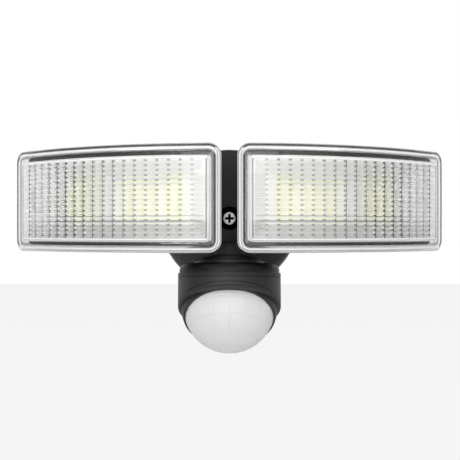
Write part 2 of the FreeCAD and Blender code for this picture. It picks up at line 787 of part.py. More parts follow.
def rounded_piece(name, base, size, chosen):
    """Round those edges of a piece that the chosen test picks."""
    doc.recompute()
    fillet = doc.addObject("Part::Fillet", name)
    fillet.Base = base
    amount = value(size)
    fillet.Edges = [(number, amount, amount) for number, edge in enumerate(base.Shape.Edges, start=1)
                    if chosen(edge)]
    return fillet


def lens():
    """Clear tray over the whole front of the head, its front edge rounded."""
    block = curved_block("lens_outside", "head_radius", "head_radius - lens_depth", "0")
    axis = Vector(value(AXIS_X), value(AXIS_Y), 0)
    front = value("head_radius")

    def at_front(edge):
        ends = [Vector(vertex.X, vertex.Y, 0).distanceToPoint(axis) for vertex in edge.Vertexes]
        return all(abs(reach - front) < NEAR for reach in ends)

    outer = rounded_piece("lens_rounded", block, "lens_edge_round", at_front)
    hollow = curved_block("lens_hollow", "head_radius - lens_skin", "head_radius - 2 * lens_depth",
                          "lens_wall")
    both_sides(cut("lens_tray", outer, hollow), "lens")


def lens_gasket():
    """Rubber ring between the lens skirt and the shell's front edge."""
    ring = curved_block("gasket_outside", "head_radius - lens_depth", SHELL_FRONT, "shell_inset")
    hole = curved_block("gasket_hollow", "head_radius", "head_radius - 2 * lens_depth",
                        "shell_inset + shell_wall")
    both_sides(cut("gasket_cut", ring, hole), "lens_gasket")


def lens_clips():
    """Two hooks that stand on the shell's edge and hold the lens at the outer end."""
    clips = [clip_box("clip", up, "clip_thickness", "clip_depth", "clip_length", "clip_height")
             for up in (-1, 1)]
    both_sides(group("clip_pair", *clips), "lens_clips")


def tray_section(name, wall):
    """The tray's cross-section, wide at the front and narrow at the floor, swept round the axis."""
    half_open = "(open_height / 2 + (%s))" % wall
    half_floor = "(floor_height / 2 + (%s))" % wall
    floor = "(%s - (%s))" % (FLOOR, wall)
    outline = [(floor, "floor_middle - " + half_floor), ("head_radius", "open_middle - " + half_open),
               ("head_radius", "open_middle + " + half_open), (floor, "floor_middle + " + half_floor)]
    body = doc.addObject("PartDesign::Body", name)
    sweep = body.newObject("PartDesign::Revolution", name + "_sweep")
    sweep.Profile = outline_sketch(body, "XZ_Plane", outline)
    sweep.ReferenceAxis = (sweep.Profile[0], ["V_Axis"])
    bind(sweep, Angle="head_sweep_angle")
    return place(body, AXIS_X, AXIS_Y, 0, UP, "270")


def on_arc(radius, angle):
    return ("%s + (%s) * sin(%s)" % (AXIS_X, radius, angle), "%s - (%s) * cos(%s)" % (AXIS_Y, radius, angle))


def tray_plan(name, wall):
    """The tray's plan, with both end walls sloping in from the front to the floor."""
    lean = "(%s) / head_radius * %s" % (wall, DEGREES_PER_RADIAN)
    low = ("(floor_inner_angle - %s)" % lean, "(open_inner_angle - %s)" % lean)
    high = ("(floor_outer_angle + %s)" % lean, "(open_outer_angle + %s)" % lean)
    behind = "(%s - 4 * reflector_wall)" % FLOOR
    ahead = "(head_radius + floor_depth * 3)"
    outline = [on_arc(behind, low[0]), on_arc(FLOOR, low[0]), on_arc("head_radius", low[1]),
               on_arc(ahead, "(head_sweep_angle / 2)"), on_arc("head_radius", high[1]),
               on_arc(FLOOR, high[0]), on_arc(behind, high[0])]
    return padded(name, "XY_Plane", outline, "3 * head_height")


def reflector():
    """White tray with a narrow brim behind the lens and a window in its floor for each LED board."""
    first = "open_inner_angle / %s * head_radius - brim_width" % DEGREES_PER_RADIAN
    last = "open_outer_angle / %s * head_radius + brim_outer_width" % DEGREES_PER_RADIAN
    edges = (first, last, "open_middle - open_height / 2 - brim_width",
             "open_middle + open_height / 2 + brim_width", "brim_corner")
    brim = bent_block("reflector_brim", BRIM_FRONT, "%s - reflector_wall" % BRIM_FRONT, *edges)
    reach = bent_block("reflector_reach", BRIM_FRONT, "%s - 2 * reflector_wall" % FLOOR, *edges)
    outside = common("tray_outside", tray_section("tray_outer_section", "reflector_wall"),
                     tray_plan("tray_outer_plan", "reflector_wall"), reach)
    inside = common("tray_inside", tray_section("tray_inner_section", "0"),
                    tray_plan("tray_inner_plan", "0"))
    openings = [inside]
    for name, (angle, width) in BOARDS.items():
        window = box(name + "_window", "%s - 2 * board_margin" % width, "3 * floor_depth",
                     "led_board_height - 2 * board_margin", AXIS_X, "-head_depth + lens_depth",
                     "floor_middle - led_board_height / 2 + board_margin")
        openings.append(swung(window, angle))
    both_sides(cut("reflector_cut", fuse("reflector_solid", brim, outside), *openings), "reflector")


def board_front(width):
    """Depth of a flat LED board's face: its ends just clear the back of the curved floor."""
    return "(head_radius - sqrt((%s - led_board_gap)^2 - (%s / 2)^2))" % (FLOOR_BACK, width)


def led_board(name, angle, width):
    face = "-head_depth + %s" % board_front(width)
    board = box(name + "_plate", width, "board_thickness", "led_board_height", AXIS_X, face,
                "floor_middle - led_board_height / 2")
    both_sides(swung(board, angle), name + "_board")
    columns = int(value("(%s - 2 * board_margin) / led_pitch" % width))
    rows = int(value("(led_board_height - 2 * board_margin) / led_pitch"))
    chips = []
    for column in range(columns):
        for row in range(rows):
            across = "(%s) * led_pitch" % (column - (columns - 1) / 2)
            up = "(%s) * led_pitch" % (row - (rows - 1) / 2)
            chips.append(box(name + "_chip", "led_side", "led_thickness", "led_side",
                             "%s + %s" % (AXIS_X, across), face + " - led_thickness",
                             "floor_middle + %s - led_side / 2" % up))
    both_sides(swung(group(name + "_chips", *chips), angle), name + "_leds")


def board_posts():
    """Posts from the shell's back up to the rear of each LED board."""
    posts = []
    for name, (angle, width) in BOARDS.items():
        depth = "(%s + board_thickness)" % board_front(width)
        for side in (-1, 1):
            post = rod(name + "_post", "board_post_radius", "head_thickness - shell_wall / 2 - %s" % depth,
                       "%s + %d * board_post_offset" % (AXIS_X, side), "-head_depth + %s" % depth,
                       "floor_middle")
            posts.append(swung(post, angle))
    return posts


def fins():
    """Upright cooling fins over the back of the shell."""
    count = int(value("fin_count"))
    made = []
    for number in range(count):
        angle = "(fin_first_angle + %d * (fin_last_angle - fin_first_angle) / %d)" % (number, count - 1)
        fin = box("fin", "fin_thickness", "fin_depth + shell_wall / 2", "fin_height", AXIS_X,
                  "-head_depth + head_thickness - shell_wall / 2", "head_middle - fin_height / 2")
        made.append(swung(fin, angle))
    return made


def ears():
    """Two ears on the pocket's floor that the hinge bolt goes through."""
    made = []
    for side in (-1, 1):
        middle = "hinge_across + %d * (%s + ear_thickness / 2)" % (side, EAR_FACE)
        made.append(box("ear_root", "ear_thickness", "pocket_floor_depth + pocket_wall / 2 - hinge_depth",
                        "2 * ear_radius", middle, "-pocket_floor_depth - pocket_wall / 2",
                        "hinge_height - ear_radius"))
        made.append(rod("ear_end", "ear_radius", "ear_thickness", middle + " - ear_thickness / 2",
                        "-hinge_depth", "hinge_height", "X"))
    return made


def head_shell():
    """Black rear housing with the pocket that takes the arm."""
    outside = curved_block("shell_outside", SHELL_FRONT, SHELL_BACK, "shell_inset")
    hollow = curved_block("shell_hollow", "head_radius", "%s + shell_wall" % SHELL_BACK,
                          "shell_inset + shell_wall")
    low = "hinge_height - pocket_height / 2"
    walls = box("pocket_walls", "pocket_width + 2 * pocket_wall", "pocket_floor_depth",
                "pocket_height + 2 * pocket_wall", "hinge_across", "-pocket_floor_depth - pocket_wall",
                low + " - pocket_wall")
    space = box("pocket_space", "pocket_width", "pocket_floor_depth", "pocket_height",
                "hinge_across", "-pocket_floor_depth", low)
    keep = curved_block("shell_keep", "head_radius", SHELL_BACK, "shell_inset")
    inside = common("shell_inside", fuse("shell_supports", walls, *board_posts()), keep)
    case = fuse("shell_case", cut("shell_tray", outside, hollow), inside, *fins())
    body = fuse("shell_with_ears", cut("shell_pocketed", case, space), *ears())
    bore = rod("ear_bore", "hinge_bolt_radius + hinge_clearance", "2 * (%s + ear_thickness)" % EAR_FACE,
               "hinge_across - %s - ear_thickness" % EAR_FACE, "-hinge_depth", "hinge_height", "X")
    both_sides(cut("shell_bored", body, bore), "head_shell")


def at_hinge(body, across):
    """Turn a body's own Z axis along +X on the hinge line, starting at a place across."""
    return place(body, across, "-hinge_depth", "hinge_height", Vector(0, 1, 0), 90)


def hinge_hardware():
    reach = "(%s + ear_thickness)" % EAR_FACE
    tip = "(-%s - hinge_nut_height - bolt_tip)" % reach
    bolt = at_hinge(revolved("bolt_turning", [
        (0, tip), ("hinge_bolt_radius", tip), ("hinge_bolt_radius", reach), ("hinge_head_radius", reach),
        ("hinge_head_radius", "%s + %s * hinge_head_height" % (reach, HEAD_TOP_SHARE)),
        ("%s * hinge_head_radius" % HEAD_TOP_SHARE, reach + " + hinge_head_height"),
        (0, reach + " + hinge_head_height")]), "hinge_across")
    both_sides(bolt, "hinge_bolt")
    nut = doc.addObject("Part::Prism", "nut_blank")
    nut.Polygon = 6
    bind(nut, Circumradius="hinge_nut_flat / 2 / cos(30)", Height="hinge_nut_height")
    at_hinge(nut, "hinge_across - %s - hinge_nut_height" % reach)
    thread = through_rod("nut_thread", "hinge_bolt_radius", "hinge_nut_height",
                         "hinge_across - %s - hinge_nut_height" % reach, "-hinge_depth", "hinge_height",
                         "X")
    both_sides(cut("nut_cut", nut, thread), "hinge_nut")
    rings = []
    for side in (-1, 1):
        middle = "hinge_across + %d * (arm_thickness / 2 + washer_gap + washer_thickness / 2)" % side
        start = middle + " - washer_thickness / 2"
        ring = rod("washer_blank", "washer_radius", "washer_thickness", start, "-hinge_depth",
                   "hinge_height", "X")
        hole = through_rod("washer_hole", "hinge_bolt_radius + hinge_clearance", "washer_thickness",
                           start, "-hinge_depth", "hinge_height", "X")
        rings.append(cut("washer", ring, hole))
    both_sides(group("washers", *rings), "hinge_washers")


# Bell joint and sensor: drawn about the pan axis with the tilt pins at height 0

def swivel():
    """Flared bell that pans on the neck by its stub and carries the tilt pins in its rim."""
    stub_top = "(clip_seat + clip_ring_thickness + stub_tip)"
    groove = "(stub_radius - clip_groove_depth)"
    bell = on_pan_axis(revolved("bell", [
        ("stub_bore", "bell_ceiling"), ("bell_ceiling_radius", "bell_ceiling"),
        ("bell_inner_radius", "bell_inner_edge"),
        ("bell_inner_radius", "-bell_rim_drop"), ("bell_radius", "-bell_rim_drop"),
        ("bell_radius", "bell_edge_height"),
        ("bell_radius - bell_edge_run", "bell_edge_height + bell_edge_rise"),
        ("bell_radius - bell_edge_run - bell_flare_run",
         "bell_edge_height + bell_edge_rise + bell_flare_rise"),
        ("neck_post_radius + bell_seat_run", "bell_seat - bell_seat_fall"),
        ("neck_post_radius", "bell_seat"), ("stub_radius", "bell_seat"), ("stub_radius", "clip_seat"),
        (groove, "clip_seat"), (groove, "clip_seat + clip_ring_thickness"),
        ("stub_radius", "clip_seat + clip_ring_thickness"), ("stub_radius", stub_top),
        ("stub_bore", stub_top)]))
    rim = "(bell_radius - bell_inner_radius)"
    rim_ears = []
    bores = []
    pins = []
    for side in (-1, 1):
        start = "%d * (bell_inner_radius + %s / 2) - %s / 2" % (side, rim, rim)
        rim_ears.append(rod("bell_ear", "pin_ear_radius", rim, start, 0, 0, "X"))
        bores.append(through_rod("bell_bore", "pin_radius", rim, start, 0, 0, "X"))
        pin_start = "bell_radius - pin_length" if side > 0 else "-bell_radius"
        shank = rod("pin_shank", "pin_radius", "pin_length", pin_start, 0, 0, "X")
        head_start = "bell_radius" if side > 0 else "-bell_radius - pin_head_height"
        head = rod("pin_head", "pin_head_radius", "pin_head_height", head_start, 0, 0, "X")
        end = side * (value("bell_radius") + value("pin_head_height"))
        domed = rounded_piece("pin_head_domed", head, "pin_head_round",
                              lambda edge: abs(edge.CenterOfMass.x - end) < NEAR)
        pins.append(fuse("pin", shank, domed))
    bell_ears = on_pan_axis(group("bell_ears", *rim_ears))
    bell_bores = on_pan_axis(group("bell_bores", *bores))
    node(cut("bell_cut", fuse("bell_blank", bell, bell_ears), bell_bores), "swivel_cap")
    node(on_pan_axis(group("pin_pair", *pins)), "tilt_pins")
    ring = on_pan_axis(revolved("stub_ring", [
        (groove, "clip_seat + clip_play"), ("clip_ring_radius", "clip_seat + clip_play"),
        ("clip_ring_radius", "clip_seat + clip_ring_thickness - clip_play"),
        (groove, "clip_seat + clip_ring_thickness - clip_play")]))
    node(ring, "swivel_clip")


SENSOR_TOP = "(-sensor_top_drop)"
SHOULDER_RADIUS = "(sensor_radius - shoulder_inset)"
SHOULDER_TOP = "(-sensor_top_drop + shoulder_height)"
COVER_BOTTOM = "(-sensor_top_drop - cover_height)"
DISH_FLOOR = "(-sensor_top_drop - dish_depth)"
INNER_RADIUS = "(sensor_radius - sensor_wall)"


def in_dome_frame(piece):
    """Put a piece that is drawn about the dome's axis, with the dome's rim at height 0."""
    return place(piece, 0, "-pan_depth - dome_drop * sin(sensor_lean_angle)",
                 "-pin_drop - dome_drop * cos(sensor_lean_angle)", RIGHT, "-sensor_lean_angle - dome_angle")


def slab(name, low, high):
    """A wide flat block in the dome's frame between two heights above the rim."""
    wide = "6 * sensor_radius"
    block = box(name + "_box", wide, wide, "(%s) - (%s)" % (high, low), 0, "-3 * sensor_radius", low)
    return in_dome_frame(group(name, block))


def sensor_cover():
    """Top of the sensor: a rounded shoulder round a dish, with the knuckle that goes up into the bell."""
    spigot_inside = "(%s - cover_spigot - sensor_fit)" % INNER_RADIUS
    ceiling = "(%s - shoulder_wall)" % SHOULDER_TOP
    disc = revolved("cover_disc", [
        (0, "%s - cover_wall" % DISH_FLOOR),
        ("dish_radius - dish_slope_run + shoulder_wall", "%s - cover_wall" % DISH_FLOOR),
        ("dish_radius + shoulder_wall", ceiling),
        (spigot_inside + " - shoulder_inner_corner", ceiling),
        (spigot_inside, ceiling + " - shoulder_inner_corner"),
        (spigot_inside, "%s - cover_spigot_depth" % COVER_BOTTOM),
        ("%s - sensor_fit" % INNER_RADIUS, "%s - cover_spigot_depth" % COVER_BOTTOM),
        ("%s - sensor_fit" % INNER_RADIUS, COVER_BOTTOM), ("sensor_radius", COVER_BOTTOM),
        ("sensor_radius", SENSOR_TOP), (SHOULDER_RADIUS, SENSOR_TOP), (SHOULDER_RADIUS, SHOULDER_TOP),
        ("dish_radius", SHOULDER_TOP), ("dish_radius - dish_slope_run", DISH_FLOOR), (0, DISH_FLOOR)])
    round_edges(disc, "cover_edge_round",
                lambda edge: is_circle_at(edge, value("sensor_radius"), value(SENSOR_TOP)))
    round_edges(disc, "shoulder_round",
                lambda edge: is_circle_at(edge, value(SHOULDER_RADIUS), value(SHOULDER_TOP)))
    ball = doc.addObject("Part::Sphere", "knuckle_ball")
    bind(ball, Radius="knuckle_radius")
    roof_edge = "knuckle_top - knuckle_radius * tan(knuckle_slope_angle)"
    roof = padded("knuckle_roof", "YZ_Plane", [
        ("-knuckle_radius", roof_edge), (0, "knuckle_top"), ("knuckle_radius", roof_edge),
        ("knuckle_radius", "%s - cover_wall / 2" % DISH_FLOOR),
        ("-knuckle_radius", "%s - cover_wall / 2" % DISH_FLOOR),
    ], "3 * knuckle_radius")
    knuckle = common("knuckle", ball, roof)
    holes = []
    for side in (-1, 1):
        start = "bell_radius - pin_length - pin_end_gap" if side > 0 else "-bell_radius"
        holes.append(rod("knuckle_bore", "pin_radius + pin_clearance", "pin_length + pin_end_gap",
                         start, 0, 0, "X"))
    pieces = group("cover_pieces", cut("cover_cut", fuse("cover_blank", disc, knuckle), *holes))
    node(on_pan_axis(pieces), "sensor_cover")


def rear_flat(name, distance, low, high):
    """Block behind a flat at the rear of the sensor, between two heights."""
    return box(name, "3 * sensor_radius", "sensor_radius", "(%s) - (%s)" % (high, low), 0, distance, low)


def sensor_housing():
    """Drum cut off aslant at the bottom, with a flat recess for the knobs at the rear."""
    top = "%s - groove_gap" % COVER_BOTTOM
    deep = "2 * sensor_radius"
    flat_low = "-flat_top - flat_height"
    outer = cut("drum_outer", rod("drum", "sensor_radius", deep, 0, 0, "%s - %s" % (top, deep), "Z"),
                rear_flat("flat_cut", "flat_distance", flat_low, "-flat_top"))
    hollow = cut("drum_hollow", through_rod("drum_inside", INNER_RADIUS, deep, 0, 0,
                                            "%s - %s" % (top, deep), "Z"),
                 rear_flat("flat_keep", "flat_distance - sensor_wall", flat_low + " - sensor_wall",
                           "-flat_top + sensor_wall"))
    holes = [rod("knob_hole", "knob_shaft_radius + knob_clearance", "sensor_radius",
                 "%d * knob_spacing" % number, "flat_distance - 2 * sensor_wall", "-knob_drop")
             for number in (-1, 0, 1)]
    drum = on_pan_axis(group("drum_pieces", cut("drum_cut", cut("drum_shell", outer, hollow), *holes)))
    below = slab("below_groove", "-3 * sensor_radius", "bezel_thickness + groove_gap")
    node(cut("drum_aslant", drum, below), "sensor_housing")


def dome_ball(name, radius, rise=0):
    """Ball about the dome's middle, or higher on the dome's axis."""
    ball = doc.addObject("Part::Sphere", name)
    bind(ball, Radius=radius)
    return in_dome_frame(group(name + "_piece", place(ball, 0, 0, "dome_rise + %s" % rise)))


def collar_block():
    """Ball that becomes the collar: from the ring down to a plane that slants more than the ring."""
    wide = "6 * collar_radius"
    outside = dome_ball("collar_outside", "collar_radius", "collar_rise")
    above = box("collar_keep", wide, wide, wide, 0, "-3 * collar_radius", "-collar_drop")
    slanting = place(group("collar_slant", above), 0, 0, "dome_rise", RIGHT, "-collar_angle")
    return common("collar_block", outside, in_dome_frame(group("collar_keep_piece", slanting)),
                  slab("collar_slab", "-2 * collar_radius", "bezel_thickness / 2"))


def dome_bezel():
    """Slanting ring round the dome with a collar below it, and a spigot into the housing."""
    block = common("bezel_block", on_pan_axis(group("bezel_outer", rod(
        "bezel_drum", "sensor_radius", "3 * sensor_radius", 0, 0, "-3 * sensor_radius", "Z"))),
        slab("bezel_slab", "0", "bezel_thickness"))
    doc.recompute()
    lowest = min(block.Shape.Edges, key=lambda edge: edge.CenterOfMass.z)
    face = rounded_piece("bezel_face", block, "bezel_edge_round",
                         lambda edge: edge.CenterOfMass.z == lowest.CenterOfMass.z)
    inner = common("bezel_spigot_solid", on_pan_axis(group("bezel_inner", rod(
        "bezel_core", "%s - sensor_fit" % INNER_RADIUS, "3 * sensor_radius", 0, 0,
        "-3 * sensor_radius", "Z"))),
        slab("spigot_slab", "bezel_thickness / 2", "bezel_thickness + bezel_spigot"))
    radius = "dome_radius + dome_clearance"
    hole = rod("bezel_hole", radius, "2 * dome_radius", 0, 0, "dome_rise", "Z")
    opening = fuse("bezel_opening", dome_ball("bezel_hollow", radius),
                   in_dome_frame(group("bezel_hole_piece", hole)))
    solid = fuse("bezel_solid", face, inner, collar_block())
    node(cut("bezel_cut", solid, opening), "dome_bezel")


def sensor_dome():
    """Milky lens: half a ball with a short skirt and a flange behind the bezel."""
    skirt = "(bezel_thickness + bezel_spigot)"
    ball = doc.addObject("Part::Sphere", "dome_half_ball")
    bind(ball, Radius="dome_radius")
    ball.Angle1 = -90
    ball.Angle2 = 0
    place(ball, 0, 0, "dome_rise")
    hollow = doc.addObject("Part::Sphere", "dome_hollow")
    bind(hollow, Radius="dome_radius - dome_wall")
    place(hollow, 0, 0, "dome_rise")
    tube = rod("dome_skirt", "dome_radius", skirt + " + dome_flange_thickness - dome_rise", 0, 0,
               "dome_rise", "Z")
    flange = rod("dome_flange", "dome_flange_radius", "dome_flange_thickness", 0, 0,
                 skirt + " + stack_play", "Z")
    bore = rod("dome_bore", "dome_radius - dome_wall", "2 * dome_radius", 0, 0, "dome_rise", "Z")
    dome = cut("dome_cut", fuse("dome_solid", ball, tube, flange), hollow, bore)
    node(in_dome_frame(group("dome_piece", dome)), "sensor_dome")


def sensor_electronics():
    """Sensor board on the dome's flange, and the knob board behind the rear flat."""
    level = "(bezel_thickness + bezel_spigot + dome_flange_thickness + 2 * stack_play)"
    board = rod("sensor_disc", "sensor_board_rim", "board_thickness", 0, 0, level, "Z")
    node(in_dome_frame(group("sensor_disc_piece", board)), "sensor_board")
    can = rod("pir_can", "pir_radius", "pir_height", 0, 0, "%s - pir_height" % level, "Z")
    node(in_dome_frame(group("pir_piece", can)), "pir_detector")
    eye = rod("light_eye", "light_sensor_radius", "light_sensor_height", "light_sensor_offset", 0,
              "%s - light_sensor_height" % level, "Z")
    node(in_dome_frame(group("light_piece", eye)), "light_sensor")
    wall = "(flat_distance - sensor_wall)"
    pots = []
    for number in (-1, 0, 1):
        across = "%d * knob_spacing" % number
        start = "%s - pot_height - pot_play" % wall
        case = rod("pot_case", "pot_radius", "pot_height", across, start, "-knob_drop")
        hole = through_rod("pot_hole", "knob_shaft_radius + knob_clearance", "pot_height", across,
                           start, "-knob_drop")
        pots.append(cut("pot", case, hole))
    node(on_pan_axis(group("pot_pieces", *pots)), "potentiometers")
    tall = "(2 * pot_radius + 2 * control_board_margin)"
    board = box("knob_board", "2 * knob_spacing + " + tall, "board_thickness", tall, 0,
                "%s - pot_height - pot_play - board_thickness" % wall, "-knob_drop - %s / 2" % tall)
    node(on_pan_axis(group("knob_board_piece", board)), "control_board")


def knobs():
    """Three adjusting knobs with a screwdriver slot, their shafts in the potentiometers."""
    for number, name in zip((-1, 0, 1), ("time", "lux", "range")):
        across = "%d * knob_spacing" % number
        face = "flat_distance + knob_gap"
        cap = rod(name + "_cap", "knob_radius", "knob_height", across, face, "-knob_drop")
        shaft = rod(name + "_shaft", "knob_shaft_radius", "sensor_wall + knob_gap + pot_height - pot_play",
                    across, "flat_distance - sensor_wall - pot_height + pot_play", "-knob_drop")
        slot = box(name + "_slot", "2 * knob_radius", "knob_height", "knob_slot", across,
                   face + " + knob_height - knob_slot_depth", "-knob_drop - knob_slot / 2")
        knob = cut(name + "_cut", fuse(name + "_blank", cap, shaft), slot)
        node(on_pan_axis(group(name + "_piece", knob)), name + "_knob")


# Build, test and write

def build():
    canopy_housing()
    canopy_gasket()
    back_plate()
    supply_grommet()
    driver()
    mounting_screw()
    crossbar()
    arms()
    sensor_neck()
    lens()
    lens_gasket()
    lens_clips()
    reflector()
    for name, (angle, width) in BOARDS.items():
        led_board(name, angle, width)
    head_shell()
    hinge_hardware()
    swivel()
    sensor_cover()
    sensor_housing()
    dome_bezel()
    sensor_dome()
    sensor_electronics()
    knobs()
    doc.recompute()


def check():
    """Stop if any object failed to recompute or any sub-part isn't a sound solid."""
    failed = [piece.Name for piece in doc.Objects
              if "Invalid" in piece.State or "Error" in piece.State]
    unsound = [piece.Label for piece in nodes
               if piece.Shape.isNull() or not piece.Shape.isValid() or not piece.Shape.Solids]
    if failed or unsound:
        raise RuntimeError("failed objects %s, unsound sub-parts %s" % (failed, unsound))


def write():
    os.makedirs("parts", exist_ok=True)
    for piece in nodes:
        piece.Shape.exportStep(os.path.join("parts", piece.Label + ".step"))


build()
check()
write()
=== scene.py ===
"""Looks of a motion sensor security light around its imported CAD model: lenses with prisms, a dome of small
lenses, a cross-head screw and all the materials. Metres, X to the right, Y towards the wall, Z up."""

import math

import bmesh
import bpy
from mathutils import Matrix, Vector


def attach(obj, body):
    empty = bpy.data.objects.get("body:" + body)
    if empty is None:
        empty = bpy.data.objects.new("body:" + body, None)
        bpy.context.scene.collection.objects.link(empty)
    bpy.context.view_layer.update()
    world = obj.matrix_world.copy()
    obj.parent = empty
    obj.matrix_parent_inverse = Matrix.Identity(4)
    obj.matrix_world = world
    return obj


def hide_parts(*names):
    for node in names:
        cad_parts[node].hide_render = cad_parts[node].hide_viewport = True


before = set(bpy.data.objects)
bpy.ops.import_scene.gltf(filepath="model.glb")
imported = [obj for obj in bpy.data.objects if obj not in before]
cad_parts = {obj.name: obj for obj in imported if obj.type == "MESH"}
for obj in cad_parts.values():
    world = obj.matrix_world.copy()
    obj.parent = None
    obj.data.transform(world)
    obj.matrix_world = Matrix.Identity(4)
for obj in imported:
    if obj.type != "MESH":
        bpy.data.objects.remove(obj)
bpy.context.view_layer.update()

SIDES = {"left": -1, "right": 1}
MM = 0.001
QUARTER_TURN = math.pi / 2
FULL_CIRCLE = 360
QUARTER_CIRCLE = 90
MERGE_DISTANCE = 0.001 * MM

# the heads, as the CAD model has them
HEAD_AXIS_X = 5.3 * MM
HEAD_AXIS_Y = 86.0 * MM
HEAD_RADIUS = 206.0 * MM
HEAD_ARC = 174.02 * MM
HEAD_LOW = -24.5 * MM
HEAD_HIGH = 48.8 * MM
HEAD_CORNER = 8.5 * MM

# the outline of a head's front, drawn flat: left, right, low and high. A way round it counts its sides.
HEAD_OUTLINE = (0.0, HEAD_ARC, HEAD_LOW, HEAD_HIGH)
SIDE_COUNT = 4
LOWER, OUTER, UPPER, INNER = range(SIDE_COUNT)

# the prism field on the inside of each lens, with the steps of its grid, and the smooth field before it
PRISM_START = 11.5 * MM
PRISM_PITCH = 8.07 * MM
PRISM_LOW = -15.79 * MM
PRISM_RISE = 3.338 * MM
PRISM_DEPTH_ACROSS = 0.6 * MM
PRISM_DEPTH_UP = 0.85 * MM
PRISM_PEAK = 2.4 * MM
FIELD_STEP_ACROSS = 1.3 * MM
FIELD_STEP_UP = 0.55 * MM
FIELD_FRONT = 0.5 * MM
FIELD = (9.4 * MM, 164.9 * MM, -14.9 * MM, 38.4 * MM)

# a count of prisms, across or up, that lies where prisms don't meet and takes no painted light or shade
UNMARKED = 0.5

# the lens's border from inside to outside: how far out from the prisms or in from the lens's edge, how deep
# behind its front (mm), and its painted tone on the lower, outer, upper and inner side (-1 painted shade,
# 0 clear, 1 a white painted highlight)
STEP_RINGS = (
    (0.1, 0.50, (0.95, 0.50, 0.60, 1.00)), (0.7, 0.45, (0.95, 0.50, 1.00, 0.50)),
    (1.3, 0.60, (0.20, 0.80, 1.00, 0.50)), (1.7, 1.20, (0.95, 0.95, 0.40, 0.60)),
    (2.3, 1.50, (0.20, 1.00, -0.1, 0.75)),
)
BEAD_RINGS = (
    (6.2, 1.50, (-0.1, 1.00, -0.1, -0.1)), (5.6, 1.50, (-0.2, 0.70, -0.4, 0.40)),
    (5.0, 1.50, (-0.3, -0.5, -0.4, -0.4)), (4.6, 1.35, (-0.3, -0.6, -0.6, -0.5)),
    (4.3, 0.90, (-0.2, -0.5, -0.5, -0.6)), (4.0, 0.35, (-0.2, 0.40, 0.30, -0.5)),
    (3.6, 0.10, (0.10, 0.10, 0.65, 0.60)), (3.0, 0.00, (0.70, -0.2, 1.00, 0.80)),
    (2.5, 0.10, (0.95, 0.30, 0.50, 0.30)), (2.1, 0.40, (0.95, 0.35, 0.10, 0.70)),
    (1.8, 0.80, (0.40, 0.10, -0.9, 1.00)), (1.4, 0.95, (0.20, 0.00, -1.0, 1.00)),
    (1.1, 0.80, (0.45, 0.00, -0.6, 0.40)), (0.8, 0.50, (0.60, -0.1, 0.20, 0.00)),
    (0.4, 0.35, (0.30, -0.1, 0.50, 0.60)), (0.1, 0.60, (0.10, -0.2, 0.50, 0.60)),
    (0.0, 1.20, (0.10, -0.2, 0.40, 0.40)), (0.0, 9.00, (0.00, 0.00, 0.00, 0.00)),
)
CLEAR = (0.0, 0.0, 0.0, 0.0)
BACK_RINGS = (
    (7.0, 2.4, CLEAR), (3.4, 2.4, CLEAR), (2.6, 2.7, CLEAR), (2.2, 3.5, CLEAR), (2.2, 9.0, CLEAR),
    (0.0, 9.0, CLEAR),
)
STEP_CORNER = 1.2 * MM
LEAST_CORNER = 0.6 * MM
LENS_MERGE_DISTANCE = 0.02 * MM

# the screw in the canopy's recess: its head rests at the seat, and its shank reaches back from there
SCREW_SEAT = -28.0 * MM
SCREW_HEAD_RADIUS = 5.5 * MM
SCREW_HEAD_HEIGHT = 3.3 * MM
SCREW_HEAD_EDGE = 1.0 * MM
SCREW_HEAD_CURVE = 24
SCREW_SHANK_RADIUS = 2.5 * MM
SCREW_SHANK_LENGTH = 28.0 * MM
SCREW_RINGS = 46
SCREW_SEGMENTS = 144
CROSS_REACH = 3.5 * MM
CROSS_HALF_WIDTH = 0.95 * MM
CROSS_SLOPE = 0.2 * MM
CROSS_DEPTH = 1.5 * MM

# the sensor's dome: half a ball, in a frame that leans forward, with a skirt and a flange. Its grid has one
# ring for each degree outside.
DOME_PLACE = (0.0, -82.9 * MM, -65.8 * MM)
DOME_LEAN = -math.radians(30)
DOME_RISE = 2.2 * MM
DOME_RADIUS = 32.4 * MM
DOME_BORE = 31.0 * MM
DOME_SKIRT = 4.65 * MM
DOME_FLANGE_RADIUS = 33.4 * MM
DOME_TOP = 5.85 * MM
DOME_SEGMENTS = 288
DOME_INNER_STEP = 3
SEAM_DEPTH = 0.35 * MM

# rows of small lenses: where each begins and ends, in degrees from the dome's tip, and how many it has
LENSLET_ROWS = ((14, 36, 8), (36, 58, 12), (58, 80, 16))


# Shader maths and materials

